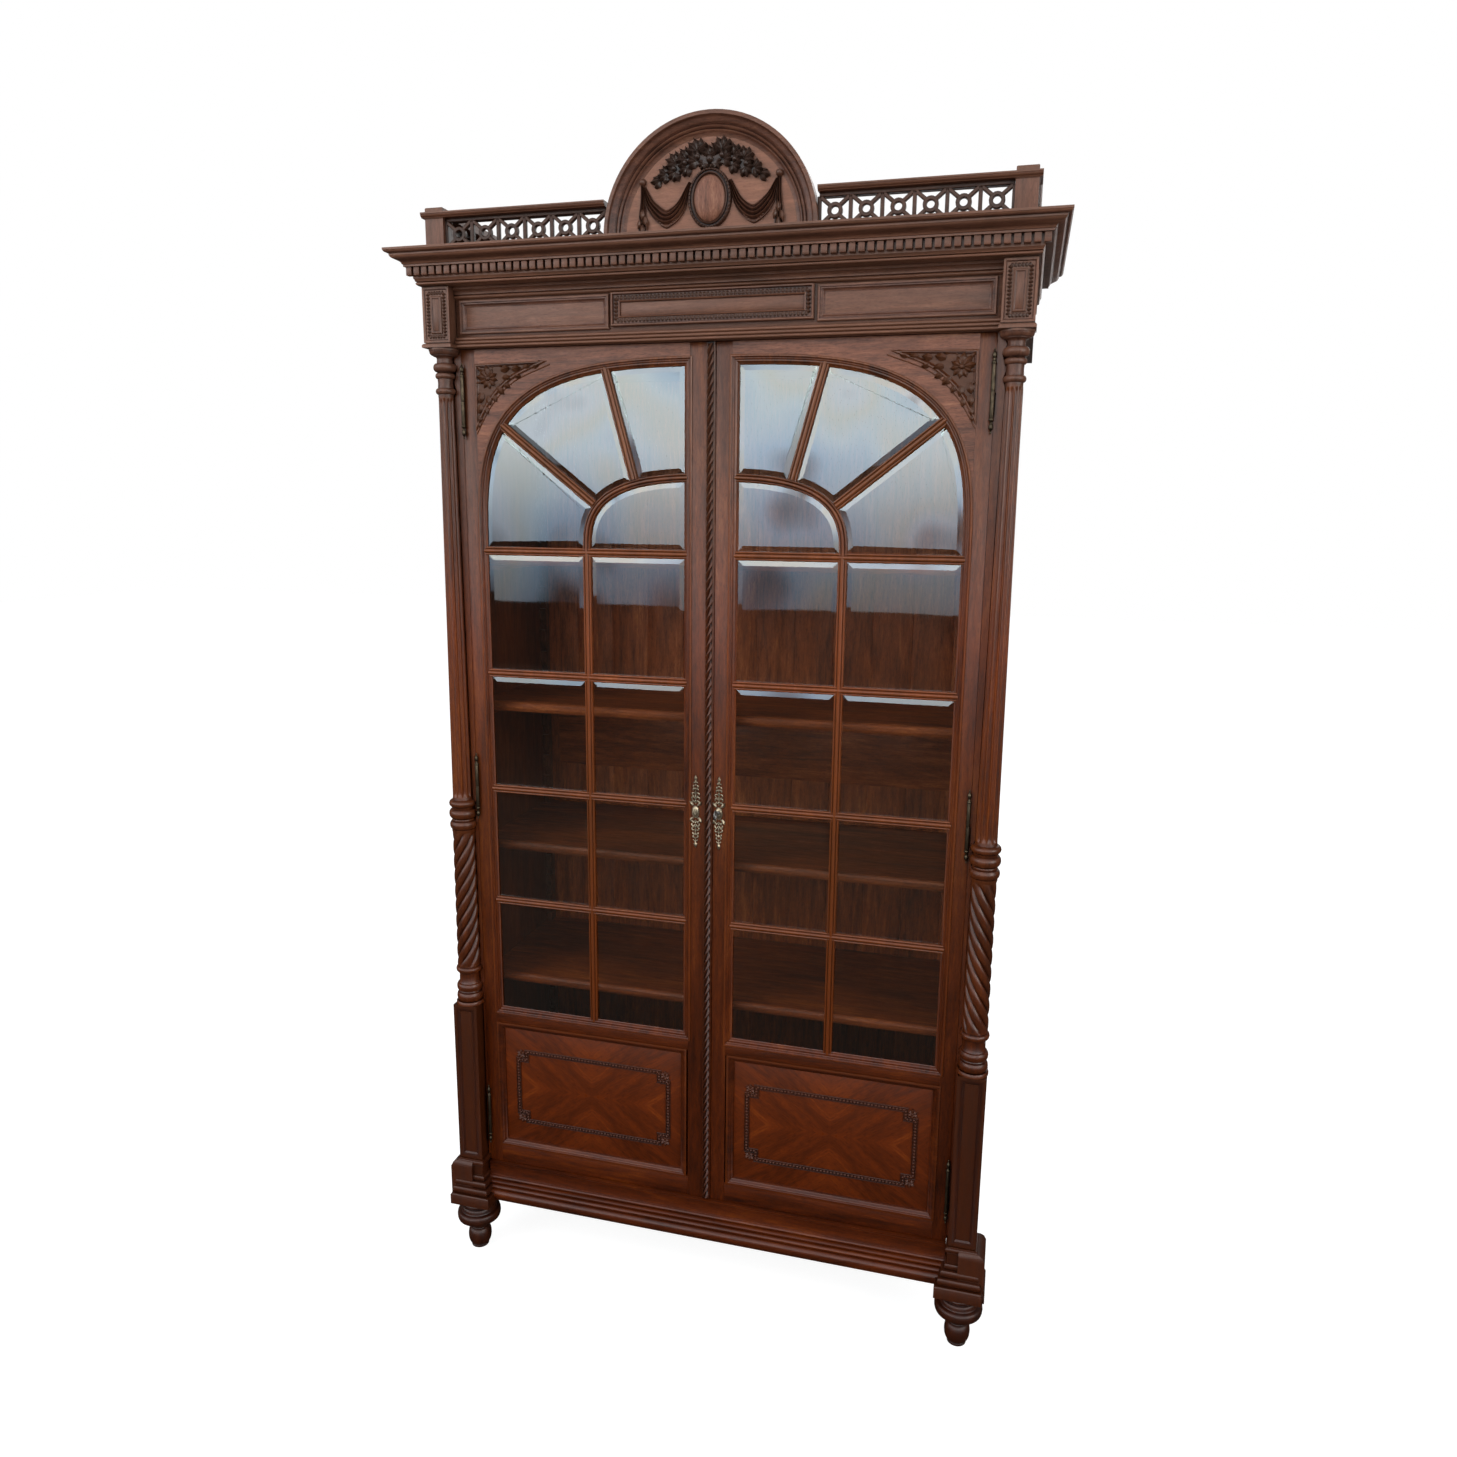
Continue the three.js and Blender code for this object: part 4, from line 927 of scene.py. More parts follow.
class BOOKCASE_OT_frieze(bpy.types.Operator):
    """Frieze: reeded mouldings, two framed fields, a carved middle tablet and two corner blocks"""

    bl_idname = "bookcase.frieze"
    bl_label = "Frieze"

    def execute(self, context):
        bottom, top = FRIEZE_LO.z, FRIEZE_HI.z
        ground = FACE - 4
        long_wood = walnut("upper_walnut", "x")
        carving = walnut("upper_carving", "x")
        x_end = 613.5
        dress(board("frieze_board", -x_end, x_end, ground, FACE + 27.5, bottom + 0.5, top - 0.5, 0.5),
              long_wood,
              "case", "frieze")
        lower = [(ground + 2, bottom), (-206, bottom), *forwards(roll(203, bottom + 0.5, bottom + 8, 4)),
                 *forwards(roll(200, bottom + 8.5, bottom + 16.5, 3.5)),
                 *forwards(roll(196, bottom + 17, bottom + 25, 3)), (ground, bottom + 26),
                 (ground + 2, bottom + 26)]
        upper = [(ground + 2, top - 25), (-193, top - 25), *forwards(roll(194, top - 24, top - 16, 4)),
                 (-198, top - 15), *forwards(cove(198, top - 14, 204, top - 5)), (-206, top - 5),
                 (-206, top), (ground + 2, top)]
        dress(straight("frieze_lower_reeds", lower, -x_end, x_end), long_wood, "case")
        dress(straight("frieze_upper_moulding", upper, -x_end, x_end), long_wood, "case")
        stepped = [(0, -1), (0, 4), (2, 6.5), (6, 6.5), (7, 4.5), (9.5, 4.8), (11, 3), (13, 1.4), (16, 0.8),
                   (16, -1)]
        for sign, side in SIDES:
            x0, x1 = sorted((sign * 234, sign * 603))
            obj = mitred(f"frieze_field_{side}", stepped, x0, x1, bottom + 31, top - 27, ground)
            dress(obj, long_wood, "case")
        z0, z1 = bottom + 36, top - 26
        rim = [(0, -1), (0, 11), (1.5, 13), (4, 13), (5.5, 10.5), (6, 8), (17, 8), (17.5, 10), (19, 11),
               (21, 10), (22, 7), (22, -1)]
        dress(mitred("frieze_tablet_rim", rim, -228, 228, z0, z1, ground), long_wood, "case")
        dress(board("frieze_tablet_field", -207, 207, ground - 7, ground, z0 + 20, z1 - 20, 1), long_wood,
              "case")
        border = leaf_border("frieze_tablet_leaves", -216.5, 216.5, z0 + 11.5, z1 - 11.5,
                             ground - 8, 8.6, 9.5)
        dress(border, carving, "case")
        self.corner_blocks(bottom, top, carving)
        return {"FINISHED"}

    def corner_blocks(self, bottom, top, carving):
        """Square blocks over the columns with a fillet below and a carved frame round a small tablet."""
        wood = walnut("upper_walnut")
        x0, x1, y0, y1 = 612.5, 679.5, -226, FACE + 27
        core = [(x0 - 3.5, x1 + 3.5, -230.5, y1, bottom), (x0 - 3.5, x1 + 3.5, -230.5, y1, bottom + 5),
                (x0 - 1, x1 + 1, -228.5, y1, bottom + 8), (x0 + 3, x1 - 3, y0 + 3, y1, bottom + 10),
                (x0 + 3, x1 - 3, y0 + 3, y1, top)]
        both_sides(stack("core", core), "corner_block", wood, "case", "frieze")
        rim = [(0, 0), (0, 3), (4.5, 3), (6, 1.2), (6.5, 0)]
        tablet = [(0, 0), (0, 2.5), (2, 4.5), (4.5, 4.5), (6, 3.4), (6, 0)]
        for name, from_x, to_x, face in (("front", x0, x1, y0 + 3), ("flank", y0 + 3.2, y1, x1 - 3)):
            middle = (from_x + to_x) / 2
            y = face if name == "front" else -face
            z0, z1 = bottom + 11, top - 2
            frames = [mitred("rim", rim, from_x, to_x, z0, z1, y),
                      mitred("inner", tablet, middle - 13.5, middle + 13.5, z0 + 19, z1 - 20, y)]
            tongue = board("tongue", middle - 8, middle + 8, y - 3.2, y, z0 + 24.5, z1 - 25.5, 0.8)
            frames.append(tongue)
            leaves = leaf_border("leaves", from_x + 13, to_x - 13, z0 + 12.5, z1 - 12.5, y, 7.4, 8.5)
            pieces = ((joined("frame", frames), f"corner_{name}_frame", wood),
                      (leaves, f"corner_{name}_leaves", carving))
            for obj, piece, material in pieces:
                if name == "flank":
                    obj.data.transform(ROUND_THE_CORNER)
                both_sides(obj, piece, material, "case")


class BOOKCASE_OT_cornice(bpy.types.Operator):
    """Cornice: a deep moulding that returns down both sides, a row of dentils and the dust board on top"""

    bl_idname = "bookcase.cornice"
    bl_label = "Cornice"

    def execute(self, context):
        bottom, top = CORNICE_LO.z, CORNICE_HI.z
        reach = 57.0
        face_x, face_y = CORNICE_HI.x - reach, CORNICE_LO.y + reach
        steps = [(-40, bottom), (4, bottom), *roll(3, bottom + 0.5, bottom + 7, 3.5), (7, bottom + 8),
                 (8, bottom + 12), (10, bottom + 14), (10, bottom + 37), (25, bottom + 37),
                 (25, bottom + 41), (27, bottom + 42), *ogee(27.5, bottom + 43, 46, bottom + 57),
                 (47, bottom + 57.5), (47, bottom + 61), *quarter(48, bottom + 62, 56, bottom + 67),
                 (reach, bottom + 67.5), (reach, top), (-40, top)]
        corners = ((-1, BACK), (-1, face_y), (1, face_y), (1, BACK))
        rings = []
        for side, y in corners:
            front = y < 0
            rings.append([(side * (face_x + d), y - d if front else y, z) for d, z in steps])
        wood = walnut("upper_walnut", "x")
        dress(loft("cornice_moulding", rings), wood, "case", "cornice")
        dress(board("cornice_dust_board", -face_x + 35, face_x - 35, face_y + 35, BACK - 0.5, top - 18,
                    top - 0.4, 1),
              walnut("case_wood", "x"), "case", slot="case_wood")
        sizes = context.scene.bookcase_sizes
        dentil = board("dentil", -6.8, 6.8, face_y - 22, face_y - 9, bottom + 18.5, bottom + 36.5, 0.9)
        pitch = sizes.dentil_pitch / MM
        middle = (sizes.dentil_count - 1) / 2
        places = [shift(x=(i - middle) * pitch) for i in range(sizes.dentil_count)]
        dress(strewn("cornice_dentils", dentil, places), wood, "case")
        return {"FINISHED"}


def beside(path, i):
    """Direction to the left of a path at one of its points."""
    run = path[min(i + 1, len(path) - 1)] - path[max(i - 1, 0)]
    return Vector((-run.y, run.x)).normalized()


def half_circle(radius, centre_z, steps=48):
    return [(radius * math.cos(math.pi * k / steps), centre_z + radius * math.sin(math.pi * k / steps))
            for k in range(steps + 1)]


def drapery(name, points, widths, y, folds=3, rise=7.0):
    """A gathered cloth along a line: its section is a row of folds, wider or narrower on the way."""
    path = [Vector(p) for p in points]
    rings = []
    count = folds * 4
    for i, point in enumerate(path):
        side = beside(path, i)
        ring = []
        for k in range(count + 1):
            u = k / count - 0.5
            height = rise * (1 - (2 * u) ** 2 * 0.5) * (0.7 + 0.3 * math.cos(math.tau * folds * (u + 0.5)))
            spot = point + side * u * widths[i]
            ring.append((spot.x, y - max(height, 0.8) * min(1, widths[i] / 12), spot.y))
        for k in (count, 0):
            spot = point + side * (k / count - 0.5) * widths[i]
            ring.append((spot.x, y + 1.5, spot.y))
        rings.append(ring)
    return loft(name, rings, angle=60)


def bent(points, steps):
    """Points along a smooth curve through the given ones."""
    path = [Vector(p) for p in points]
    path = [2 * path[0] - path[1], *path, 2 * path[-1] - path[-2]]
    smooth = []
    for i in range(1, len(path) - 2):
        a, b, c, d = path[i - 1:i + 3]
        for k in range(steps):
            t = k / steps
            smooth.append(0.5 * (2 * b + (c - a) * t + (2 * a - 5 * b + 4 * c - d) * t * t
                                 + (3 * b - a - 3 * c + d) * t ** 3))
    return [tuple(p) for p in [*smooth, path[-2]]]


def ribbon(name, points, width, y, rise=4.0, taper=0.0, steps=6):
    """A carved ribbon with a hollow middle that follows a curve."""
    path = bent(points, steps)
    last = len(path) - 1
    widths = [width * (1 - taper * abs(2 * i / last - 1) ** 2) for i in range(last + 1)]
    return drapery(name, path, widths, y, folds=1, rise=rise)


class BOOKCASE_OT_crest(bpy.types.Operator):
    """Round crest: an arched moulding over a carved oval boss with ribbons and hanging cloths"""

    bl_idname = "bookcase.crest"
    bl_label = "Crest"

    def execute(self, context):
        radius = CREST_HI.x
        centre = CREST_HI.z - radius
        front, back, foot = CREST_LO.y, CREST_HI.y, CREST_LO.z
        wood, carving = walnut("upper_walnut", "x"), walnut("upper_carving", "x")
        depth = back - front
        section = [(0, 0), (0, depth - 1), (2, depth), (8, depth), (9.5, depth - 3),
                   *ogee(10, depth - 4, 22, depth - 12), (23, depth - 12.5),
                   *[(d, depth - 14 + 3 * math.sin(math.pi * (d - 24) / 7))
                     for d in (24, 25.7, 27.5, 29.3, 31)],
                   *[(d, depth - 16 + 2.5 * math.sin(math.pi * (d - 32) / 6))
                     for d in (32, 33.5, 35, 36.5, 38)],
                   (40, depth - 17), (46, depth - 18.5), (46, 0)]
        path = [(radius, foot), *half_circle(radius, centre), (-radius, foot)]
        dress(along("crest_arch", section, path, back), wood, "case", "crest", slot="pale_walnut")
        inner = radius - 42
        ground = front + 19
        plate = [(inner, foot), *half_circle(inner, centre), (-inner, foot)]
        dress(slab("crest_ground", plate, ground, back - 1), walnut("crest_walnut", "x"), "case",
              slot="pale_walnut")
        boss_z = centre + 68.5
        self.boss(boss_z, ground, carving)
        self.ribbons(boss_z, ground)
        return {"FINISHED"}

    def boss(self, z, ground, carving):
        """Oval boss: a polished dome in a moulded frame with a ring of pearls."""
        section = [(0, -1), (0, 3), (2, 6), (5, 7), (6.5, 4), (8, 4), (9, 7), (11, 8), (13, 6), (14, 2),
                   (14, -1)]
        frame_ring = along("frame", section, oval(48, 60.6, 40, z=z), ground, closed=True)
        pearls = [shift(p[0], ground - 6.5, p[1]) for p in oval(44, 56.6, 44, z=z)[:-1]]
        frame_piece = joined("frame", [frame_ring, strewn("pearls", pearl(2.5, 2.5), pearls)])
        dress(frame_piece, carving, "case", slot="pale_walnut").name = "crest_boss_frame"
        levels = [[(x, ground + 1, h) for x, h in oval(36, 48, 32, z=z)[:-1]]]
        for k in range(9):
            a = math.pi / 2 * k / 8
            shrink, height = max(math.cos(a), 0.02), 2 + 10 * math.sin(a)
            levels.append([(x, ground - height, h) for x, h in oval(36 * shrink, 48 * shrink, 32,
                                                                    z=z)[:-1]])
        dome = loft("crest_boss_dome", levels, angle=60)
        dress(dome, walnut("crest_walnut"), "case", slot="pale_walnut")

    def ribbons(self, z, ground):
        """Clustered leaves and a band over the boss, and cloths that swing from them to tied drops."""
        folds = []
        clusters = (
            (0, 84, 0, 0.8), (27, 92, 14, 1.15), (30, 74, 60, 0.95), (12, 70, 150, 0.7), (52, 80, 70, 1.0),
            (50, 64, 120, 0.9), (74, 72, 35, 1.05), (76, 56, 130, 0.9), (96, 52, 95, 0.85),
        )
        for x, up, heading, size in clusters:
            for spread in (-72, -36, 0, 36, 72):
                folds.append(shift(x, ground, z + up) @ turn(heading + spread) @ Matrix.Scale(size, 4))
        for x, up, heading, size in ((112, 44, 112, 0.9), (110, 40, 140, 0.8), (112, 46, 84, 0.6)):
            folds.append(shift(x, ground, z + up) @ turn(heading) @ Matrix.Scale(size, 4))
        right = strewn("folds", leaf(22, 18, 11, 0.85), folds)
        knots = strewn("knots", pearl(7, 12, 10), [shift(x, ground, z + up)
                                                   for x, up in ((27, 82), (54, 72), (79, 62))])
        band = ribbon("band", [(3, z + 72), (26, z + 76), (54, z + 68), (80, z + 56), (106, z + 42)], 19,
                      ground, 8, 0.3)
        right = joined("right", [right, knots, band])
        left = placed(right, "left", MIRROR)
        knot = strewn("knot", pearl(9, 13, 12), [shift(0, ground, z + 76)])
        dress(joined("crest_ribbons", [right, left, knot]), walnut("crest_carving", "x"), "case",
              slot="pale_walnut")
        swag = bent([(146, z + 30), (130, z - 8), (98, z - 34), (66, z - 14), (44, z + 34)], 7)
        last = len(swag) - 1
        widths = [7 + 25 * math.sin(math.pi * i / last) ** 1.3 for i in range(last + 1)]
        parts = [drapery("swag", swag, widths, ground, folds=4, rise=10)]
        hem = [shift(p[0] + (98 - p[0]) * 0.1, ground - 1, p[1] - w * 0.52)
               for p, w in zip(swag[4:-6], widths[4:-6])]
        parts.append(strewn("hem", pearl(3.4, 4), hem))
        drop = bent([(150, z + 40), (149, z + 4), (151, z - 30), (150, z - 62)], 6)
        widths = [8 + 12 * (i / (len(drop) - 1)) ** 1.3 for i in range(len(drop))]
        parts.append(drapery("drop", drop, widths, ground, folds=3, rise=10))
        parts.append(strewn("knob", pearl(8, 9, 12), [shift(150, ground - 2, z + 40),
                                                      shift(150, ground - 1, z - 66)]))
        tassels = [shift(150 + dx, ground - 5, z + dz) @ turn(180 + tilt) for dx, dz, tilt in
                   ((0, -16, 0), (-5, -30, 14), (5, -34, -12), (0, -46, 0))]
        parts.append(strewn("tassels", leaf(20, 10, 6, 0.6), tassels))
        half = joined("half", parts)
        other = placed(half, "other", MIRROR)
        dress(joined("crest_cloths", [half, other]), walnut("crest_cloth", "z"), "case", slot="pale_walnut")


def fret_cell(half_x, half_z, depth):
    """One square of the fret on the front plane: a moulded ring held by four diagonal arms."""
    section = [(-4, 0), (-4, depth - 1.4), (-2.6, depth), (2.6, depth), (4, depth - 1.4), (4, 0)]
    parts = [along("ring", section, oval(12, -12, 20), 0, closed=True)]
    arm = [(-3.8, 0), (-3.8, depth - 1.8), (-2.6, depth - 0.6), (2.6, depth - 0.6), (3.8, depth - 1.8),
           (3.8, 0)]
    for sx, sz in ((1, 1), (1, -1), (-1, 1), (-1, -1)):
        parts.append(along("arm", arm, [(sx * 9.6, sz * 9.6), (sx * (half_x - 2), sz * half_z)], 0))
    return joined("cell", parts)


class BOOKCASE_OT_gallery(bpy.types.Operator):
    """Pierced gallery on top: corner posts, a fret of rings and arms, and a moulded cap rail"""

    bl_idname = "bookcase.gallery"
    bl_label = "Gallery"

    def execute(self, context):
        foot, top = GALLERY_LO.z, GALLERY_HI.z
        rail, cap = top - 22, top - 11
        inner = CREST_HI.x
        wood, fret_wood = walnut("upper_walnut", "x"), walnut("upper_carving", "x")
        x0, x1, y0, y1 = 624, 672, -215, -167
        post = [(x0, x1, y0, y1, foot), (x0, x1, y0, y1, foot + 5),
                (x0 + 1.5, x1 - 1.5, y0 + 1.5, y1 - 1.5, foot + 8),
                (x0 + 1.5, x1 - 1.5, y0 + 1.5, y1 - 1.5, rail - 2), (x0, x1, y0, y1, rail - 1),
                (x0, x1, y0, y1, rail)]
        both_sides(stack("post", post), "gallery_post", walnut("upper_walnut"), "case", "gallery_{side}")
        front = self.run(inner, x0, 6, -205, foot, rail)
        both_sides(front, "gallery_front_fret", fret_wood, "case", "gallery_{side}")
        flank = self.run(y1, BACK - 5, 7, -653, foot, rail)
        flank.data.transform(ROUND_THE_CORNER)
        both_sides(flank, "gallery_flank_fret", fret_wood, "case", "gallery_{side}")
        cap_front = [(-157, rail), (-217, rail), (-218, rail + 2),
                     *forwards(quarter(218, rail + 2, 222, rail + 7)), (-223, rail + 8), (-223, cap),
                     (-157, cap)]
        obj = straight("cap", cap_front, inner - 1.5, x1 + 5.5)
        both_sides(obj, "gallery_cap_front", wood, "case", "gallery_{side}")
        side_cap = [(619, rail), (672, rail), (673, rail + 2), *quarter(673, rail + 2, 676.5, rail + 7),
                    (677.4, rail + 8), (677.4, cap), (619, cap)]
        obj = slab("cap", side_cap, -156.8, BACK - 5)
        both_sides(obj, "gallery_cap_flank", walnut("upper_walnut", "y"), "case", "gallery_{side}")
        crown = [(626, 670, -214, BACK - 5, cap - 0.3), (626, 670, -214, BACK - 5, top - 2),
                 (627.5, 668.5, -212.5, BACK - 6.5, top)]
        both_sides(stack("crown", crown), "gallery_crown", walnut("upper_walnut", "y"), "case",
                   "gallery_{side}")
        return {"FINISHED"}

    def run(self, start, end, count, face, foot, rail):
        """A length of fret between two strips, drawn on the front plane at the given face."""
        depth = 10.0
        pitch = (end - start) / count
        z0, z1 = foot + 13, rail - 8
        middle = (z0 + z1) / 2
        cell = fret_cell(pitch / 2, (z1 - z0) / 2, depth)
        places = [shift(start + (i + 0.5) * pitch, face + depth, middle) for i in range(count)]
        cells = strewn("cells", cell, places)
        strip = board("strip", start, end, face, face + depth, foot, z0, 1)
        header = board("header", start, end, face, face + depth, z1, rail, 1)
        bars = [board("bar", start + i * pitch - 4, start + i * pitch + 4, face + 0.6, face + depth, z0 - 1,
                      z1 + 1, 1)
                for i in range(count + 1)]
        return joined("run", [cells, strip, header, *bars])


# ---------------------------------------------------------------------------------------------
# Doors
# ---------------------------------------------------------------------------------------------

class BOOKCASE_OT_door_frames(bpy.types.Operator):
    """Stiles and rails of both doors, the top one cut to the arch, with carved corners"""

    bl_idname = "bookcase.door_frames"
    bl_label = "Door frames"

    def execute(self, context):
        back = DOOR_HI.y
        z0, z1 = DOOR_LO.z, DOOR_HI.z
        x_in, x_out = OPENING_X0 - 0.3, OPENING_X1 + 0.3
        panel_bottom, panel_top = PANEL_LO.z - 0.3, PANEL_HI.z + 0.3
        for sign, side in SIDES:
            lo, hi = span(f"door_frame_{side}")
            meeting = lo.x if sign > 0 else -hi.x
            stiles = [board("stile", meeting, x_in, FACE, back, z0, z1, 0.8),
                      board("stile", x_out, DOOR_HI.x, FACE, back, z0, z1, 0.8)]
            rails = [board("rail", x_in, x_out, FACE, back, z0, panel_bottom, 0.5),
                     board("rail", x_in, x_out, FACE, back, panel_top, OPENING_Z0 - 0.3, 0.5)]
            crown = [(x_in, z1), *reversed(arch(x_out, OPENING_RISE + 0.3, ARCH_POWER, x_out, x_in, 40)),
                     (x_out, z1)]
            groups = (("stiles", stiles, walnut("walnut", "z")), ("rails", rails, walnut("walnut", "x")),
                      ("crown", [slab("crown", crown, back, FACE)], walnut("crown_walnut", "x")))
            for name, parts, wood in groups:
                obj = joined("frame", parts)
                if sign < 0:
                    obj.data.transform(MIRROR)
                    obj.data.flip_normals()
                obj.name = obj.data.name = f"door_{name}_{side}"
                dress(obj, wood, f"door_{side}", f"door_frame_{side}")
        self.spandrels()
        return {"FINISHED"}

    def spandrels(self):
        """Carved three-cornered panels in the upper outer corners of the doors."""
        corner, left, low = (571.0, 2320.0), (394.0, 2323.0), (573.0, 2175.0)
        edge = bent([low, (536, 2236), (480, 2286), left], 6)
        path = [left, corner, low, *edge[1:]]
        path.reverse()
        rim = [(-1, 0), (-1, 2.5), (1, 4), (3.5, 4), (5, 2), (6.5, 2.6), (8, 1.4), (9, 0)]
        frame_piece = along("rim", rim, path, FACE, closed=True)
        both_sides(frame_piece, "spandrel_rim", walnut("turned_walnut", "x"), "door_{side}")
        heart = (539.0, 2288.0)
        places = []
        for k in range(10):
            size = 1.2 if k in (0, 1, 2) else 0.92
            places.append(shift(heart[0], FACE, heart[1]) @ turn(36 * k + 9) @ shift(z=4)
                          @ Matrix.Scale(size * 0.9, 4))
        fan = [strewn("petals", leaf(24, 15, 6, 0.5), places)]
        sprigs = ((506, 2306, 282, 1.5), (502, 2290, 262, 1.4), (478, 2307, 280, 1.4),
                  (474, 2295, 256, 1.2),
                  (450, 2310, 276, 1.25), (428, 2313, 272, 1.1), (556, 2256, 168, 1.5),
                  (541, 2250, 192, 1.4),
                  (559, 2231, 170, 1.4), (548, 2226, 196, 1.2), (562, 2208, 174, 1.2),
                  (566, 2192, 182, 0.9),
                  (517, 2269, 226, 1.5), (529, 2252, 212, 1.2), (500, 2276, 240, 1.2), (558, 2307, 45, 0.9),
                  (561, 2280, 100, 0.8), (528, 2311, -5, 0.55), (512, 2316, 270, 0.7),
                  (566, 2262, 180, 0.7))
        places = [shift(x, FACE, z) @ turn(a) @ Matrix.Scale(s, 4) for x, z, a, s in sprigs]
        fan.append(strewn("sprigs", leaf(15.5, 11, 5, 0.7), places))
        fan.append(strewn("heart", pearl(6.5, 7.5, 12), [shift(heart[0], FACE, heart[1])]))
        fan.append(slab("ground", path[:-1], FACE + 0.5, FACE - 0.7))
        both_sides(joined("carving", fan), "spandrel_carving", walnut("carved_walnut", "x"), "door_{side}")
        line = [(-1.2, -0.4), (-1.2, 0.7), (0, 1.4), (1.2, 0.7), (1.2, -0.4)]
        vee = bent([(573, 2164), (532, 2228), (474, 2280), (384, 2316)], 6)
        both_sides(along("line", line, vee, FACE), "spandrel_line", walnut("turned_walnut", "x"),
                   "door_{side}")


class BOOKCASE_OT_door_panels(bpy.types.Operator):
    """Lower panels: book-matched veneer in a moulded frame, with a beaded rectangle and corner rosettes"""

    bl_idname = "bookcase.door_panels"
    bl_label = "Door panels"

    def execute(self, context):
        x0, x1, z0, z1 = PANEL_LO.x, PANEL_HI.x, PANEL_LO.z, PANEL_HI.z
        ground = FACE + 9
        panel = board("panel", x0, x1, ground, PANEL_HI.y, z0, z1, 0.5)
        both_sides(panel, "door_veneer", veneer(), "door_{side}", "door_panel_{side}")
        rim = [(0, -2), (0, 10), (-3, 10), (-3, 11.2), (0, 12), (3, 11.6), (4.5, 9.8), (6, 9.4), (8, 7.5),
               (10, 4.5), (12, 3), (14, 2.6), (15, 1), (15, -2)]
        both_sides(mitred("rim", rim, x0, x1, z0, z1, ground), "door_panel_rim",
                   walnut("turned_walnut", "x"), "door_{side}")
        bx0, bx1, bz0, bz1 = 104, 521, 388, 588
        step = 24
        path = [(bx0 + step, bz0), (bx1 - step, bz0), (bx1 - step, bz0 + step), (bx1, bz0 + step),
                (bx1, bz1 - step), (bx1 - step, bz1 - step), (bx1 - step, bz1), (bx0 + step, bz1),
                (bx0 + step, bz1 - step), (bx0, bz1 - step), (bx0, bz0 + step), (bx0 + step, bz0 + step),
                (bx0 + step, bz0)]
        band = [(-6.5, 0), (-6.5, 2), (-5.4, 3), (-4.2, 1.4), (4.2, 1.4), (5.4, 3), (6.5, 2), (6.5, 0)]
        parts = [along("band", band, path, ground, closed=True)]
        places = [shift(x, ground - 1.2, z) for x, z, _ in evenly(path, 8.6)]
        parts.append(strewn("beads", pearl(3.7, 3.6), places))
        petals, hearts = [], []
        for cx in (bx0 + 8, bx1 - 8):
            for cz in (bz0 + 8, bz1 - 8):
                petals += [shift(cx, ground, cz) @ turn(60 * k) @ shift(z=2) for k in range(6)]
                hearts.append(shift(cx, ground, cz))
        parts.append(strewn("petals", leaf(11.5, 9.5, 4.6, 0.5), petals))
        parts.append(strewn("hearts", pearl(3.6, 5.5, 10), hearts))
        both_sides(joined("beading", parts), "door_panel_beading", walnut("carved_walnut", "x"),
                   "door_{side}")
        return {"FINISHED"}


REED = [(-10, 0), (-10, 3.4), (-9, 5), (-7.4, 5.6), (-5.8, 5), (-5, 3.6), (-4.2, 5.4), (-2.4, 7.4), (0, 8),
        (2.4, 7.4), (4.2, 5.4), (5, 3.6), (5.8, 5), (7.4, 5.6), (9, 5), (10, 3.4), (10, 0)]


class BOOKCASE_OT_glazing_bars(bpy.types.Operator):
    """Reeded glazing bars: cross bars, a middle bar, an inner arch and two spokes, inside a moulded bead"""

    bl_idname = "bookcase.glazing_bars"
    bl_label = "Glazing bars"

    def execute(self, context):
        left, right = OPENING_X0 + 6, OPENING_X1 - 6
        bead = [(-6, 8.6), (-6, 10.6), (-4.6, 11.8), (-2, 11.8), (-0.4, 10.2), (0.8, 8.6), (2.4, 9),
                (4, 8.2), (5, 6.2), (7.4, 6.4), (9, 5.4), (10.6, 3), (12.2, 2.6), (BEAD, 1.4), (BEAD, 0),
                (0, 0), (0, 8.6)]
        outline_path = opening(0)
        parts = [along("bead", bead, [*outline_path, outline_path[0]], BAR_BACK, closed=True)]
        for z in LEVELS:
            parts.append(along("bar", REED, [(left, z), (right, z)], BAR_BACK))
        parts.append(along("bar", REED, [(MULLION_X, OPENING_Z0 + 6), (MULLION_X, SPRING)], BAR_BACK - 0.1))
        slim = [(d * INNER_BAR / BAR, h) for d, h in REED]
        half, rise = INNER_HALF - INNER_BAR / 2, INNER_RISE - INNER_BAR / 2
        parts.append(along("arch", slim, arch(half, rise, INNER_POWER, half, left, 30), BAR_BACK - 0.1))
        for foot, head in SPOKES:
            parts.append(along("spoke", REED, [foot, head], BAR_BACK - 0.2))
        both_sides(joined("bars", parts), "glazing_lattice", walnut("glazing_walnut"), "door_{side}",
                   "glazing_bars_{side}",
                   slot="dark_walnut")
        return {"FINISHED"}


def cut_line(path, foot, head, offset):
    """The stretch of a path that crosses the line beside a spoke, and the place where it does."""
    direction = (Vector(head) - Vector(foot)).normalized()
    normal = Vector((-direction.y, direction.x))
    apart = [(Vector(p) - Vector(foot)).dot(normal) - offset for p in path]
    for i, (a, b) in enumerate(zip(apart, apart[1:])):
        if a == 0 or a * b < 0:
            return i, tuple(Vector(path[i]).lerp(Vector(path[i + 1]), a / (a - b)))
    raise RuntimeError("a spoke of the glazing does not reach the arch")


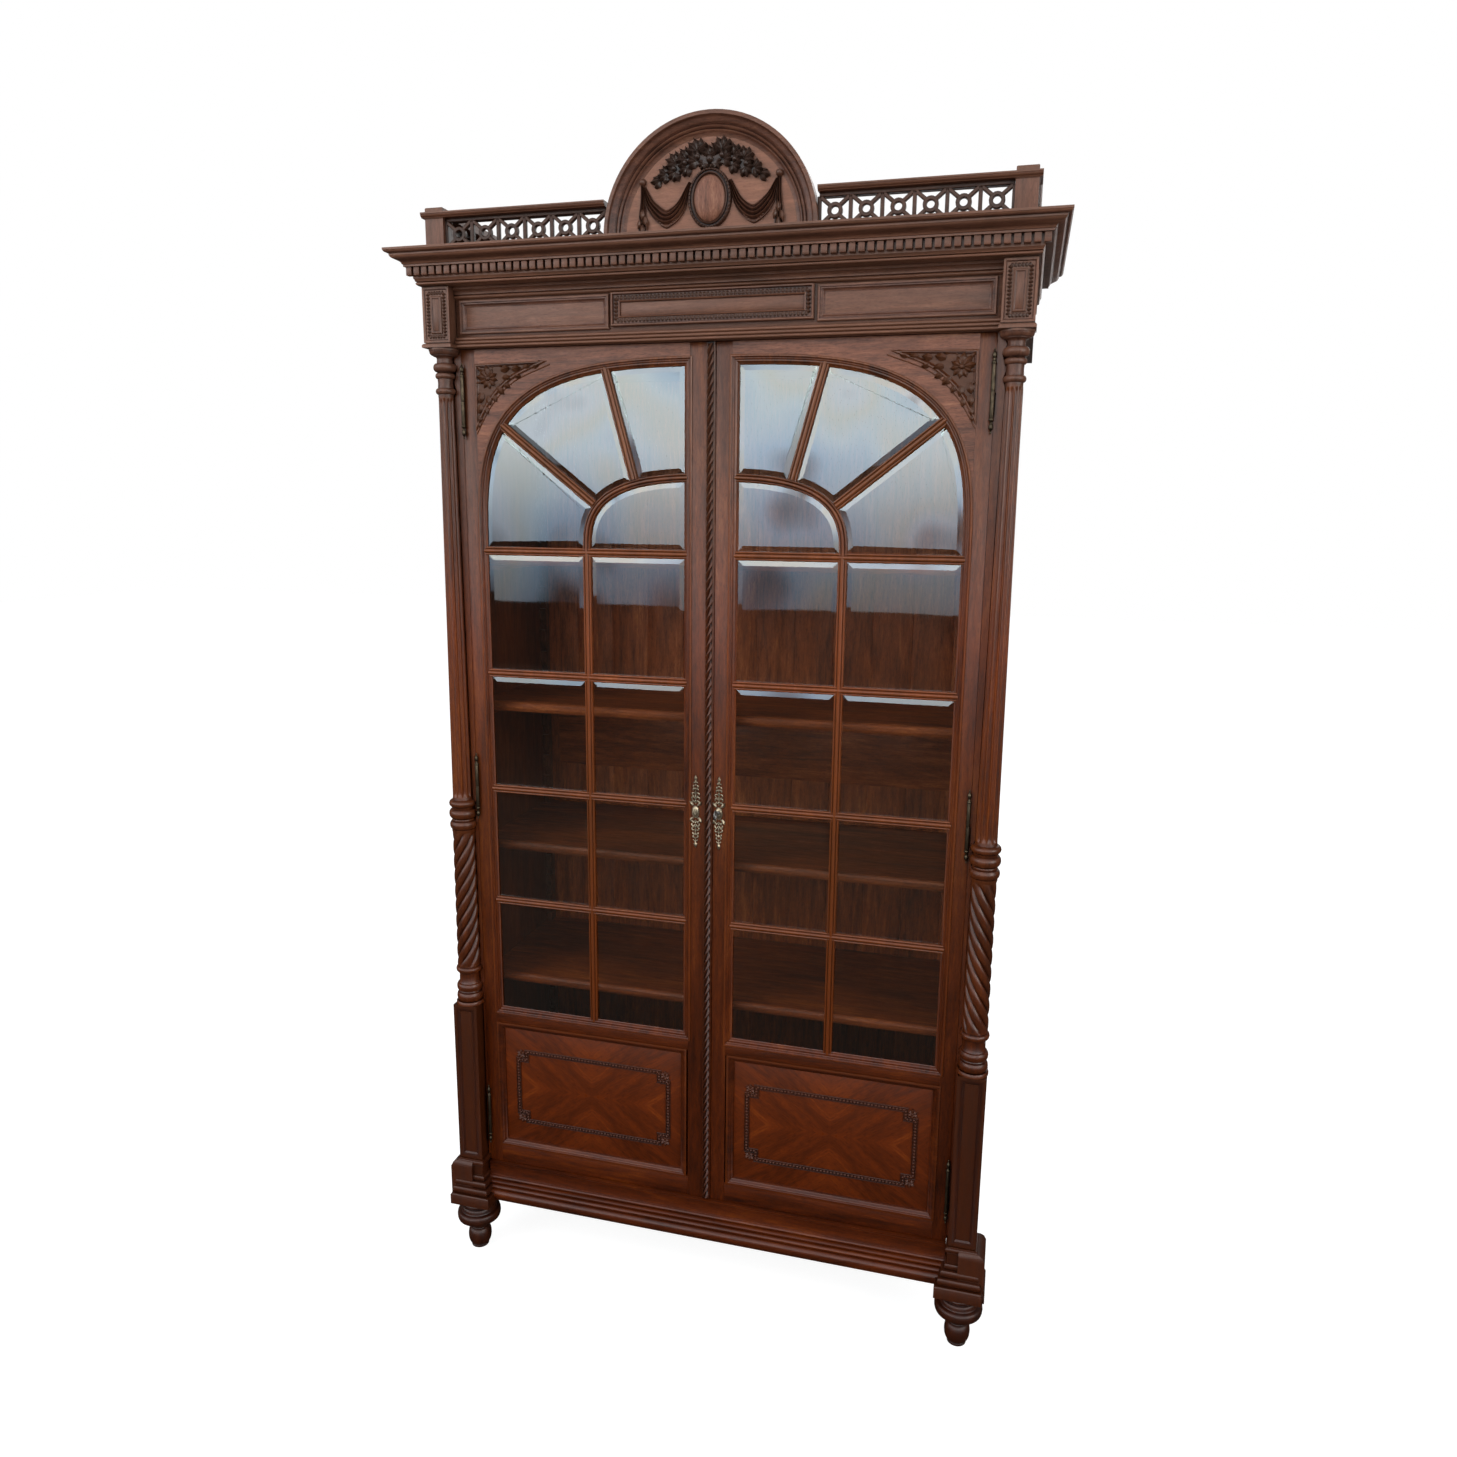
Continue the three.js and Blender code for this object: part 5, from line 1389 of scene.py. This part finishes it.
def fan_panes(edge):
    """Outlines of the quarter-round pane and the three panes of the fan, with an edge left beside each bar."""
    x0, x1 = OPENING_X0 + BEAD - 1, OPENING_X1 - BEAD + 1
    floor = SPRING + edge
    inner_half, inner_rise = INNER_HALF - INNER_BAR + 1, INNER_RISE - INNER_BAR + 1
    quarter_arch = [p for p in arch(inner_half, inner_rise, INNER_POWER, inner_half, x0, 20)
                    if p[1] > floor + 1]
    quarter_round = [(x0, floor), (quarter_arch[0][0] + 0.6, floor), *quarter_arch]
    low = [p for p in arch(INNER_HALF - 1, INNER_RISE - 1, INNER_POWER, INNER_HALF - 1, x0, 60)
           if p[1] > floor + 1]
    low.insert(0, (low[0][0] + 0.4, floor))
    high = [p for p in arch(x1, OPENING_RISE - BEAD + 1, ARCH_POWER, x1, x0, 80) if p[1] > floor + 1]
    high.insert(0, (x1, floor))
    panes = [quarter_round]
    bounds = [(None, SPOKES[0]), (SPOKES[0], SPOKES[1]), (SPOKES[1], None)]
    for before, after in bounds:
        if before:
            i, low_start = cut_line(low, *before, edge - 1)
            j, high_start = cut_line(high, *before, edge - 1)
            low_part, high_part = [low_start, *low[i + 1:]], [high_start, *high[j + 1:]]
        else:
            low_part, high_part = low, high
        if after:
            i, low_end = cut_line(low_part, *after, 1 - edge)
            j, high_end = cut_line(high_part, *after, 1 - edge)
            low_part, high_part = [*low_part[:i + 1], low_end], [*high_part[:j + 1], high_end]
        panes.append([*low_part[::-1], *high_part])
    return panes


PANE_FRONT, PANE_BEVEL_RISE, PANE_BACK = BAR_BACK + 1.2, 1.25, BAR_BACK + 3.6


def thinned(path, gap):
    """The path without corners that lie closer than the gap to the one before."""
    kept = [path[0]]
    for point in path[1:]:
        if math.dist(point, kept[-1]) > gap:
            kept.append(point)
    return kept


def bevelled_pane(name, path, bevel):
    """A pane of plate glass with a ground edge sloping down all round."""
    path = thinned(path, 6.0)
    area = sum(a[0] * b[1] - b[0] * a[1] for a, b in zip(path, [*path[1:], path[0]]))
    if area < 0:
        path.reverse()
    obj = outline([(x, PANE_FRONT, z) for x, z in path])
    edit()
    bpy.ops.mesh.select_all(action="SELECT")
    bpy.ops.mesh.inset(thickness=bevel * MM, depth=0, use_even_offset=True)
    mesh = bmesh.from_edit_mesh(obj.data)
    for vertex in mesh.verts:
        if vertex.select:
            vertex.co.y -= PANE_BEVEL_RISE * MM
    bmesh.update_edit_mesh(obj.data)
    bpy.ops.mesh.select_all(action="DESELECT")
    bpy.ops.mesh.select_non_manifold()
    bpy.ops.mesh.extrude_region()
    mesh = bmesh.from_edit_mesh(obj.data)
    for vertex in mesh.verts:
        if vertex.select:
            vertex.co.y = PANE_BACK * MM
    bmesh.update_edit_mesh(obj.data)
    bpy.ops.mesh.edge_face_add()
    leave()
    return settle(obj, name, 1)


class BOOKCASE_OT_panes(bpy.types.Operator):
    """Twelve bevelled panes of glass in each door"""

    bl_idname = "bookcase.panes"
    bl_label = "Glass panes"

    def execute(self, context):
        bevel = context.scene.bookcase_sizes.glass_bevel / MM
        edge = BAR / 2 - 1
        x_edges = (OPENING_X0 + BEAD - 1, MULLION_X - edge, MULLION_X + edge, OPENING_X1 - BEAD + 1)
        floors = (OPENING_Z0 + BEAD - 1 - edge, *LEVELS)
        outlines = []
        for x0, x1 in (x_edges[:2], x_edges[2:]):
            for z0, z1 in zip(floors, floors[1:]):
                outlines.append([(x0, z0 + edge), (x1, z0 + edge), (x1, z1 - edge), (x0, z1 - edge)])
        outlines += fan_panes(edge)
        panes = [bevelled_pane(f"pane{i}", path, bevel) for i, path in enumerate(outlines)]
        both_sides(joined("panes", panes), "glass_panes", pane_glass(), "door_{side}", "door_glass_{side}",
                   slot="glass")
        return {"FINISHED"}


class BOOKCASE_OT_closing_strip(bpy.types.Operator):
    """Closing strip on the left-hand door: a carved rope between two fillets"""

    bl_idname = "bookcase.closing_strip"
    bl_label = "Closing strip"

    def execute(self, context):
        z0, z1 = ASTRAGAL_LO.z, ASTRAGAL_HI.z
        half, back = ASTRAGAL_HI.x, ASTRAGAL_HI.y
        section = [(half, back), (half, back - 2.6), (half - 1, back - 3.4), (half - 2.4, back - 3.4),
                   (half - 3.2, back - 2), (3.2 - half, back - 2), (2.4 - half, back - 3.4),
                   (1 - half, back - 3.4), (-half, back - 2.6), (-half, back)]
        fillets = loft("fillets", [[(x, y, z) for x, y in section] for z in (z0, z1)])
        turns = context.scene.bookcase_sizes.rope_turns
        lead = (z1 - z0 - 6) / turns
        strands, steps = 3, 12
        strand = [6.7 * (1 - 0.72 * (abs(k / 6 - 0.5) * 2) ** 1.5) for k in range(6)]
        rings = []
        for i in range(steps + 1):
            share = i / (steps * strands)  # of one full turn
            rings.append(level_ring(strand * strands, z0 + 3 + lead * share, start=math.tau * share,
                                    x=0, y=back - 2.3, breadth=1.25))
        rope = loft("rope", rings, angle=50)
        modify(rope, "ARRAY", count=turns * strands, use_relative_offset=False, use_constant_offset=True,
               constant_offset_displace=(0, 0, lead / strands * MM), use_merge_vertices=True,
               merge_threshold=1e-5)
        strip = joined("closing_strip", [fillets, rope])
        dress(strip, walnut("roped_walnut"), "door_left", "astragal")
        return {"FINISHED"}


def scroll(cx, cz, r0, r1, start, sweep, thick, y):
    """A C-shaped scroll of round wire on the front plane, its ends rolled tighter."""
    steps = 16
    path, rings = [], []
    for k in range(steps + 1):
        t = k / steps
        a = math.radians(start + sweep * t)
        r = r0 + (r1 - r0) * t
        path.append(Vector((cx + r * math.cos(a), cz + r * math.sin(a))))
    for k, point in enumerate(path):
        normal = beside(path, k)
        w = thick * (0.55 + 0.45 * math.sin(math.pi * k / steps))
        section = ((-1, 0), (-0.7, 0.8), (0, 1.15), (0.7, 0.8), (1, 0))
        rings.append([(point.x + normal.x * d * w, y - h * w, point.y + normal.y * d * w)
                      for d, h in section])
    return loft("scroll", rings, angle=60)


class BOOKCASE_OT_lock_plates(bpy.types.Operator):
    """Cast lock plates on both meeting stiles: pierced scrollwork round an oval shield with a keyhole"""

    bl_idname = "bookcase.lock_plates"
    bl_label = "Lock plates"

    def execute(self, context):
        bronze = metal("aged_bronze", context.scene.bookcase_colours.bronze, 0.32, 1.0)
        for side, lo, hi in (("right", PLATE_LO, PLATE_HI), ("left", BLANK_LO, BLANK_HI)):
            middle = (lo + hi) / 2
            plate = self.plate(middle.x, middle.z, hi.y)
            dress(plate, bronze, f"door_{side}", f"escutcheon_{side}", slot="bronze")
            plate.name = plate.data.name = f"lock_plate_{side}"
        return {"FINISHED"}

    def plate(self, x, z, back):
        y = back - 0.2
        parts = []
        for scale, low, high in ((1.0, 0, 1.6), (0.82, 1.6, 2.4)):
            rings = [[(u, y - h, v) for u, v in oval(9.5 * s, 16 * s, 28, x, z)[:-1]]
                     for s, h in ((scale, low), (scale - 0.06, high))]
            parts.append(loft("shield", rings, angle=50))
        parts.append(self.keyhole(x, z, y))
        spine = [(x, z + 20), (x, z + 52)]
        rod = [(-1.6, 0), (-1.2, 1.4), (0, 2), (1.2, 1.4), (1.6, 0)]
        curls = ((5.4, 21, 5, 4.0, -100, 250, 2.3), (6, 32, 4.4, 3.2, 190, -250, 2.2),
                 (5, 43, 4.2, 3.0, -90, 240, 2.0),
                 (4, 53, 3.8, 2.4, 190, -240, 1.9), (3.4, 62, 3.2, 2.0, -90, 220, 1.8),
                 (2.8, 70, 2.8, 1.8, 190, -220, 1.5))
        for up in (1, -1):
            parts.append(along("spine", rod, [(p[0], z + up * (p[1] - z)) for p in spine], y))
            for dx, dz, r0, r1, start, sweep, thick in curls:
                for sign in (1, -1):
                    a0 = start if sign > 0 else 180 - start
                    sweep_by = sweep if sign > 0 else -sweep
                    if up < 0:
                        a0, sweep_by = -a0, -sweep_by
                    parts.append(scroll(x + sign * dx, z + up * dz, r0, r1, a0, sweep_by, thick, y))
            tips = [shift(x, y, z + up * d) for d in (27, 38, 48, 57, 66, 75)]
            parts.append(strewn("drops", pearl(2.7, 3.4, 10), tips))
            flowers = [shift(x + sx * 5.5, y, z + up * d) for sx in (1, -1) for d in (27, 38)]
            parts.append(strewn("flowers", pearl(2.3, 3.2, 8), flowers))
            point = leaf(14, 8, 3.4, 0.3)
            parts.append(strewn("point", point, [shift(x, y, z + up * 76) @ turn(0 if up > 0 else 180)]))
            side_leaves = [shift(x + sx * 7, y, z + up * 15) @ turn(up * sx * 35 + (0 if up > 0 else 180))
                           for sx in (1, -1)]
            parts.append(strewn("leaves", leaf(14, 8, 3.2, 0.5), side_leaves))
        return joined("plate", parts)

    def keyhole(self, x, z, y):
        """Raised lip of the keyhole."""
        path = [(x + 3.4 * math.cos(math.radians(a)), z + 3.5 + 3.4 * math.sin(math.radians(a)))
                for a in range(-60, 241, 20)]
        path = [(x + 1.8, z - 6), *path, (x - 1.8, z - 6), (x + 1.8, z - 6)]
        return along("lip", [(-0.8, 2), (-0.8, 3), (0, 3.3), (0.8, 3), (0.8, 2)], path, y, closed=True)


class BOOKCASE_OT_key(bpy.types.Operator):
    """Key in the right-hand door: a turned shank with a collar and an oval bow"""

    bl_idname = "bookcase.key"
    bl_label = "Key"

    def execute(self, context):
        middle = (KEY_LO + KEY_HI) / 2
        x, z = middle.x, middle.z
        front = KEY_LO.y
        profile = [(2.6, 0), (2.6, 14), (4.6, 15), (5, 17), (4.6, 19), (3, 20), (2.8, 26), (3.6, 28),
                   (3.6, 30), (2.2, 32), (2, 36)]
        shank = turned("shank", profile, 0, 0, 20)
        shank.data.transform(shift(x, FACE - 1 + 8, z) @ Matrix.Rotation(math.radians(90), 4, "X"))
        section = [(-1.6, 0), (-1.5, 1), (-0.8, 1.6), (0.8, 1.6), (1.5, 1), (1.6, 0), (1.5, -1),
                   (0.8, -1.6), (-0.8, -1.6), (-1.5, -1)]
        bow = along("bow", section, oval(8.2, 11, 28)[::-1], 0, closed=True)
        bow.data.transform(shift(x, front + 9.8, z) @ Matrix.Rotation(math.radians(90), 4, "Z"))
        iron = metal("worn_iron", context.scene.bookcase_colours.iron, 0.38, 0.5)
        dress(joined("door_key", [shank, bow]), iron, "key", "key", slot="iron")
        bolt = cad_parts["lock_bolt"]
        bolt.data.materials.clear()
        bolt.data.materials.append(iron)
        return {"FINISHED"}


class BOOKCASE_OT_hinges(bpy.types.Operator):
    """Turned hinge barrels with finials, the upper half on the door and the lower on the case"""

    bl_idname = "bookcase.hinges"
    bl_label = "Hinges"

    def execute(self, context):
        brass = metal("old_brass", context.scene.bookcase_colours.brass, 0.36)
        for number in (1, 2, 3):
            upper_lo, upper_hi = span(f"hinge_{number}_door_half_right")
            lower_lo = span(f"hinge_{number}_case_half_right")[0]
            x, y = upper_hi.x - 5.5, upper_lo.y + 5.5
            reach = (upper_hi.z - lower_lo.z) / 2
            middle = (upper_hi.z + lower_lo.z) / 2
            up = [(4.4, 0.4), (4.5, 1), (4.5, reach - 32), *roll(4.2, reach - 31, reach - 26, 1.3, 5),
                  (3.2, reach - 24), (2.8, reach - 21), *roll(2.8, reach - 20, reach - 8, 2, 6),
                  (2, reach - 6), *roll(1, reach - 5, reach, 1, 4)]
            for kind, sign, body in (("door", 1, "door_{side}"), ("case", -1, "case")):
                profile = [(r, middle + sign * h) for r, h in up]
                obj = turned("barrel", profile if sign > 0 else profile[::-1], x, y, 20)
                both_sides(obj, f"hinge_{number}_{kind}_barrel", brass, body,
                           f"hinge_{number}_{kind}_half_{{side}}",
                           slot="brass")
        return {"FINISHED"}


# ---------------------------------------------------------------------------------------------
# Inside, and the boards that stay as the frame has them
# ---------------------------------------------------------------------------------------------

class BOOKCASE_OT_case(bpy.types.Operator):
    """Finishes for the boards, racks, battens and shelves, and the boarded back"""

    bl_idname = "bookcase.case"
    bl_label = "Case"

    def execute(self, context):
        grain = {"side_": ("walnut", "z"), "bottom_board": ("case_wood", "x"),
                 "top_board": ("case_wood", "x"),
                 "front_rack": ("case_wood", "z"), "back_rack": ("case_wood", "z"),
                 "shelf_": ("shelf_wood", "x")}
        for name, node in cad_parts.items():
            for start, (finish, axis) in grain.items():
                if name.startswith(start):
                    node.data.materials.clear()
                    node.data.materials.append(walnut(finish, "y" if "batten" in name else axis))
        self.lining()
        return {"FINISHED"}

    def lining(self):
        """Upright tongued boards that close the back, with a cross board inside."""
        low, high = span("back_panel")
        count = 12
        width = (high.x - low.x) / count
        front = BACK - 12.6
        boards = [board("board", low.x + i * width, low.x + (i + 1) * width, front, BACK, low.z, high.z,
                        1.8)
                  for i in range(count)]
        dress(joined("back_boards", boards), walnut("lining_wood", "z"), "case", "back_panel",
              slot="case_wood")
        cross = board("back_cross_board", low.x + 40, high.x - 40, front - 0.2, front + 6, 1264, 1418, 1.0)
        dress(cross, walnut("lining_wood", "x"), "case", slot="case_wood")


# Name, place and aim in metres, width, power, colour, and whether the gloss shows it.
LAMPS = (
    ("key_light", (-3.4, -4.2, 4.4), (0, 0, 1.9), 3.2, 190, (0.93, 0.97, 1.0), False),
    ("side_light", (4.4, -2.2, 2.6), (0, 0, 1.4), 2.4, 90, (1.0, 0.95, 0.88), True),
    ("low_light", (-0.6, -4.4, 0.5), (0, 0, 0.5), 1.8, 26, (1.0, 0.78, 0.55), False),
    ("back_light", (0.5, 4.6, 3.6), (0, 0, 1.4), 3.0, 90, (1, 1, 1), True),
)
FLOOR_SIZE, FLOOR_GLOW = 40, 0.88
ROOM_STRENGTH = 5.6
CAMERA_PLACE = (0.6786, -2.520, 1.9827)
CAMERA_YAW, CAMERA_PITCH, CAMERA_LEAN = 0.26398, -0.19905, -0.010437  # radians
CAMERA_LENS, CAMERA_SENSOR = 26.13, 36  # millimetres


class BOOKCASE_OT_stage(bpy.types.Operator):
    """Pale floor, soft studio light and the camera"""

    bl_idname = "bookcase.stage"
    bl_label = "Stage"

    def execute(self, context):
        deselect()
        bpy.ops.mesh.primitive_plane_add(size=FLOOR_SIZE)
        floor = active()
        floor.name = "studio_floor"
        floor.data.materials.append(self.floor_finish())
        context.scene.world = self.world()
        context.scene.view_settings.view_transform = "Standard"
        for name, place, aim, size, power, colour, shown in LAMPS:
            deselect()
            bpy.ops.object.light_add(type="AREA", location=place)
            lamp = active()
            lamp.name = name
            lamp.data.energy, lamp.data.size, lamp.data.color = power, size, colour
            lamp.visible_glossy = shown
            lamp.rotation_euler = (Vector(aim) - Vector(place)).to_track_quat("-Z", "Y").to_euler()
        self.camera(context.scene)
        return {"FINISHED"}

    def floor_finish(self):
        """Pale paper that is kept bright all the way back, and stays dim in the panes."""
        n = Shader("studio_floor")
        path = n.add("LightPath").outputs
        speckle = n.noise(n.place(), 2.0, 2.0)
        pale = n.ramp(speckle, [(0.3, (0.30, 0.30, 0.30)), (0.7, (0.33, 0.33, 0.33))])
        paper = n.mix(path["Is Glossy Ray"], pale, (0.07, 0.055, 0.045, 1))
        matt = n.add("BsdfDiffuse", {"Color": paper}).outputs["BSDF"]
        glow = n.add("Emission", {"Strength": n.math("MULTIPLY", path["Is Camera Ray"],
                                                     FLOOR_GLOW)}).outputs["Emission"]
        return n.finish(n.add("AddShader", {0: matt, 1: glow}).outputs["Shader"])

    def world(self):
        """A white studio: even white where it is seen, soft light all round, a pale room for the gloss."""
        n = Shader("studio", world=True)
        path = n.add("LightPath").outputs
        way = n.add("TexCoord").outputs["Generated"]
        split = n.add("SeparateXYZ", {"Vector": way})
        height = n.math("ADD", n.math("MULTIPLY", split.outputs["Z"], 0.5), 0.5)
        soft = n.ramp(height, [(0.0, (0.20, 0.18, 0.16)), (0.45, (0.30, 0.27, 0.24)),
                               (0.6, (0.55, 0.57, 0.6)), (1.0, (0.8, 0.85, 0.9))])
        wall = n.ramp(height, [(0.36, (0.012, 0.010, 0.008)), (0.43, (0.04, 0.036, 0.032)),
                               (0.475, (0.22, 0.25, 0.28)), (0.50, (0.42, 0.48, 0.54)),
                               (0.53, (0.8, 0.88, 0.95)), (0.56, (0.9, 0.97, 1.0)), (0.64, (1.0, 1.0, 1.0)),
                               (0.8, (0.4, 0.42, 0.45))])
        spots = n.noise(way, 6.5, 2.0)
        patches = n.ramp(spots, [(0.34, (0.18, 0.16, 0.15)), (0.43, (0.72, 0.84, 0.95)),
                                 (0.52, (0.95, 1.0, 1.0)), (0.58, (1.0, 0.96, 0.86)),
                                 (0.64, (1.0, 1.0, 1.0)), (0.72, (0.3, 0.3, 0.32))])
        ahead = n.ramp(n.math("ADD", n.math("MULTIPLY", split.outputs["Y"], -0.5), 0.5),
                       [(0.5, (0.05, 0.045, 0.04)), (0.75, (1.0, 1.0, 1.0))])
        room = n.mix(1.0, n.mix(1.0, wall, patches, "MULTIPLY"), ahead, "MULTIPLY")
        light = n.add("Background", {"Color": soft, "Strength": 1.0}).outputs[0]
        gloss = n.add("Background", {"Color": room, "Strength": ROOM_STRENGTH}).outputs[0]
        seen = n.add("Background", {"Color": (1, 1, 1, 1), "Strength": 1.0}).outputs[0]
        lit = n.add("MixShader", {0: path["Is Glossy Ray"], 1: light, 2: gloss}).outputs[0]
        return n.finish(n.add("MixShader", {0: path["Is Camera Ray"], 1: lit, 2: seen}).outputs[0])

    def camera(self, scene):
        """Stands to the right of the middle at head height, a little tilted down and turned left."""
        yaw = Matrix.Rotation(CAMERA_YAW, 3, "Z")
        pitch = Matrix.Rotation(CAMERA_PITCH, 3, "X")
        attitude = yaw @ pitch @ Matrix.Rotation(CAMERA_LEAN, 3, "Y")
        right, ahead, up = attitude.col
        deselect()
        bpy.ops.object.camera_add()
        camera = active()
        turned_so = Matrix((right, up, -ahead)).transposed().to_4x4()
        camera.matrix_world = Matrix.Translation(CAMERA_PLACE) @ turned_so
        camera.data.sensor_width = CAMERA_SENSOR
        camera.data.lens = CAMERA_LENS
        scene.camera = camera


# ---------------------------------------------------------------------------------------------
# Sidebar and registration
# ---------------------------------------------------------------------------------------------

STEPS = (
    BOOKCASE_OT_columns, BOOKCASE_OT_pedestals, BOOKCASE_OT_feet, BOOKCASE_OT_base_rail, BOOKCASE_OT_flanks,
    BOOKCASE_OT_frieze, BOOKCASE_OT_cornice, BOOKCASE_OT_crest, BOOKCASE_OT_gallery,
    BOOKCASE_OT_door_frames,
    BOOKCASE_OT_door_panels, BOOKCASE_OT_glazing_bars, BOOKCASE_OT_panes, BOOKCASE_OT_closing_strip,
    BOOKCASE_OT_lock_plates, BOOKCASE_OT_key, BOOKCASE_OT_hinges, BOOKCASE_OT_case, BOOKCASE_OT_stage,
)


class BOOKCASE_PT_sidebar(bpy.types.Panel):
    """Lists the settings and the steps that build the bookcase"""

    bl_label = "Bookcase"
    bl_idname = "BOOKCASE_PT_sidebar"
    bl_space_type = "VIEW_3D"
    bl_region_type = "UI"
    bl_category = "Bookcase"

    def draw(self, context):
        layout = self.layout
        for settings in (context.scene.bookcase_sizes, context.scene.bookcase_colours):
            for name in settings.__annotations__:
                layout.prop(settings, name)
        for step in STEPS:
            layout.operator(step.bl_idname)


CLASSES = (BookcaseSizes, BookcaseColours, *STEPS, BOOKCASE_PT_sidebar)


def register():
    for cls in CLASSES:
        bpy.utils.register_class(cls)
    bpy.types.Scene.bookcase_sizes = bpy.props.PointerProperty(type=BookcaseSizes)
    bpy.types.Scene.bookcase_colours = bpy.props.PointerProperty(type=BookcaseColours)


def unregister():
    del bpy.types.Scene.bookcase_colours
    del bpy.types.Scene.bookcase_sizes
    for cls in reversed(CLASSES):
        bpy.utils.unregister_class(cls)


def main():
    register()
    for step in STEPS:
        group, name = step.bl_idname.split(".")
        getattr(getattr(bpy.ops, group), name)()


if __name__ == "__main__":
    main()
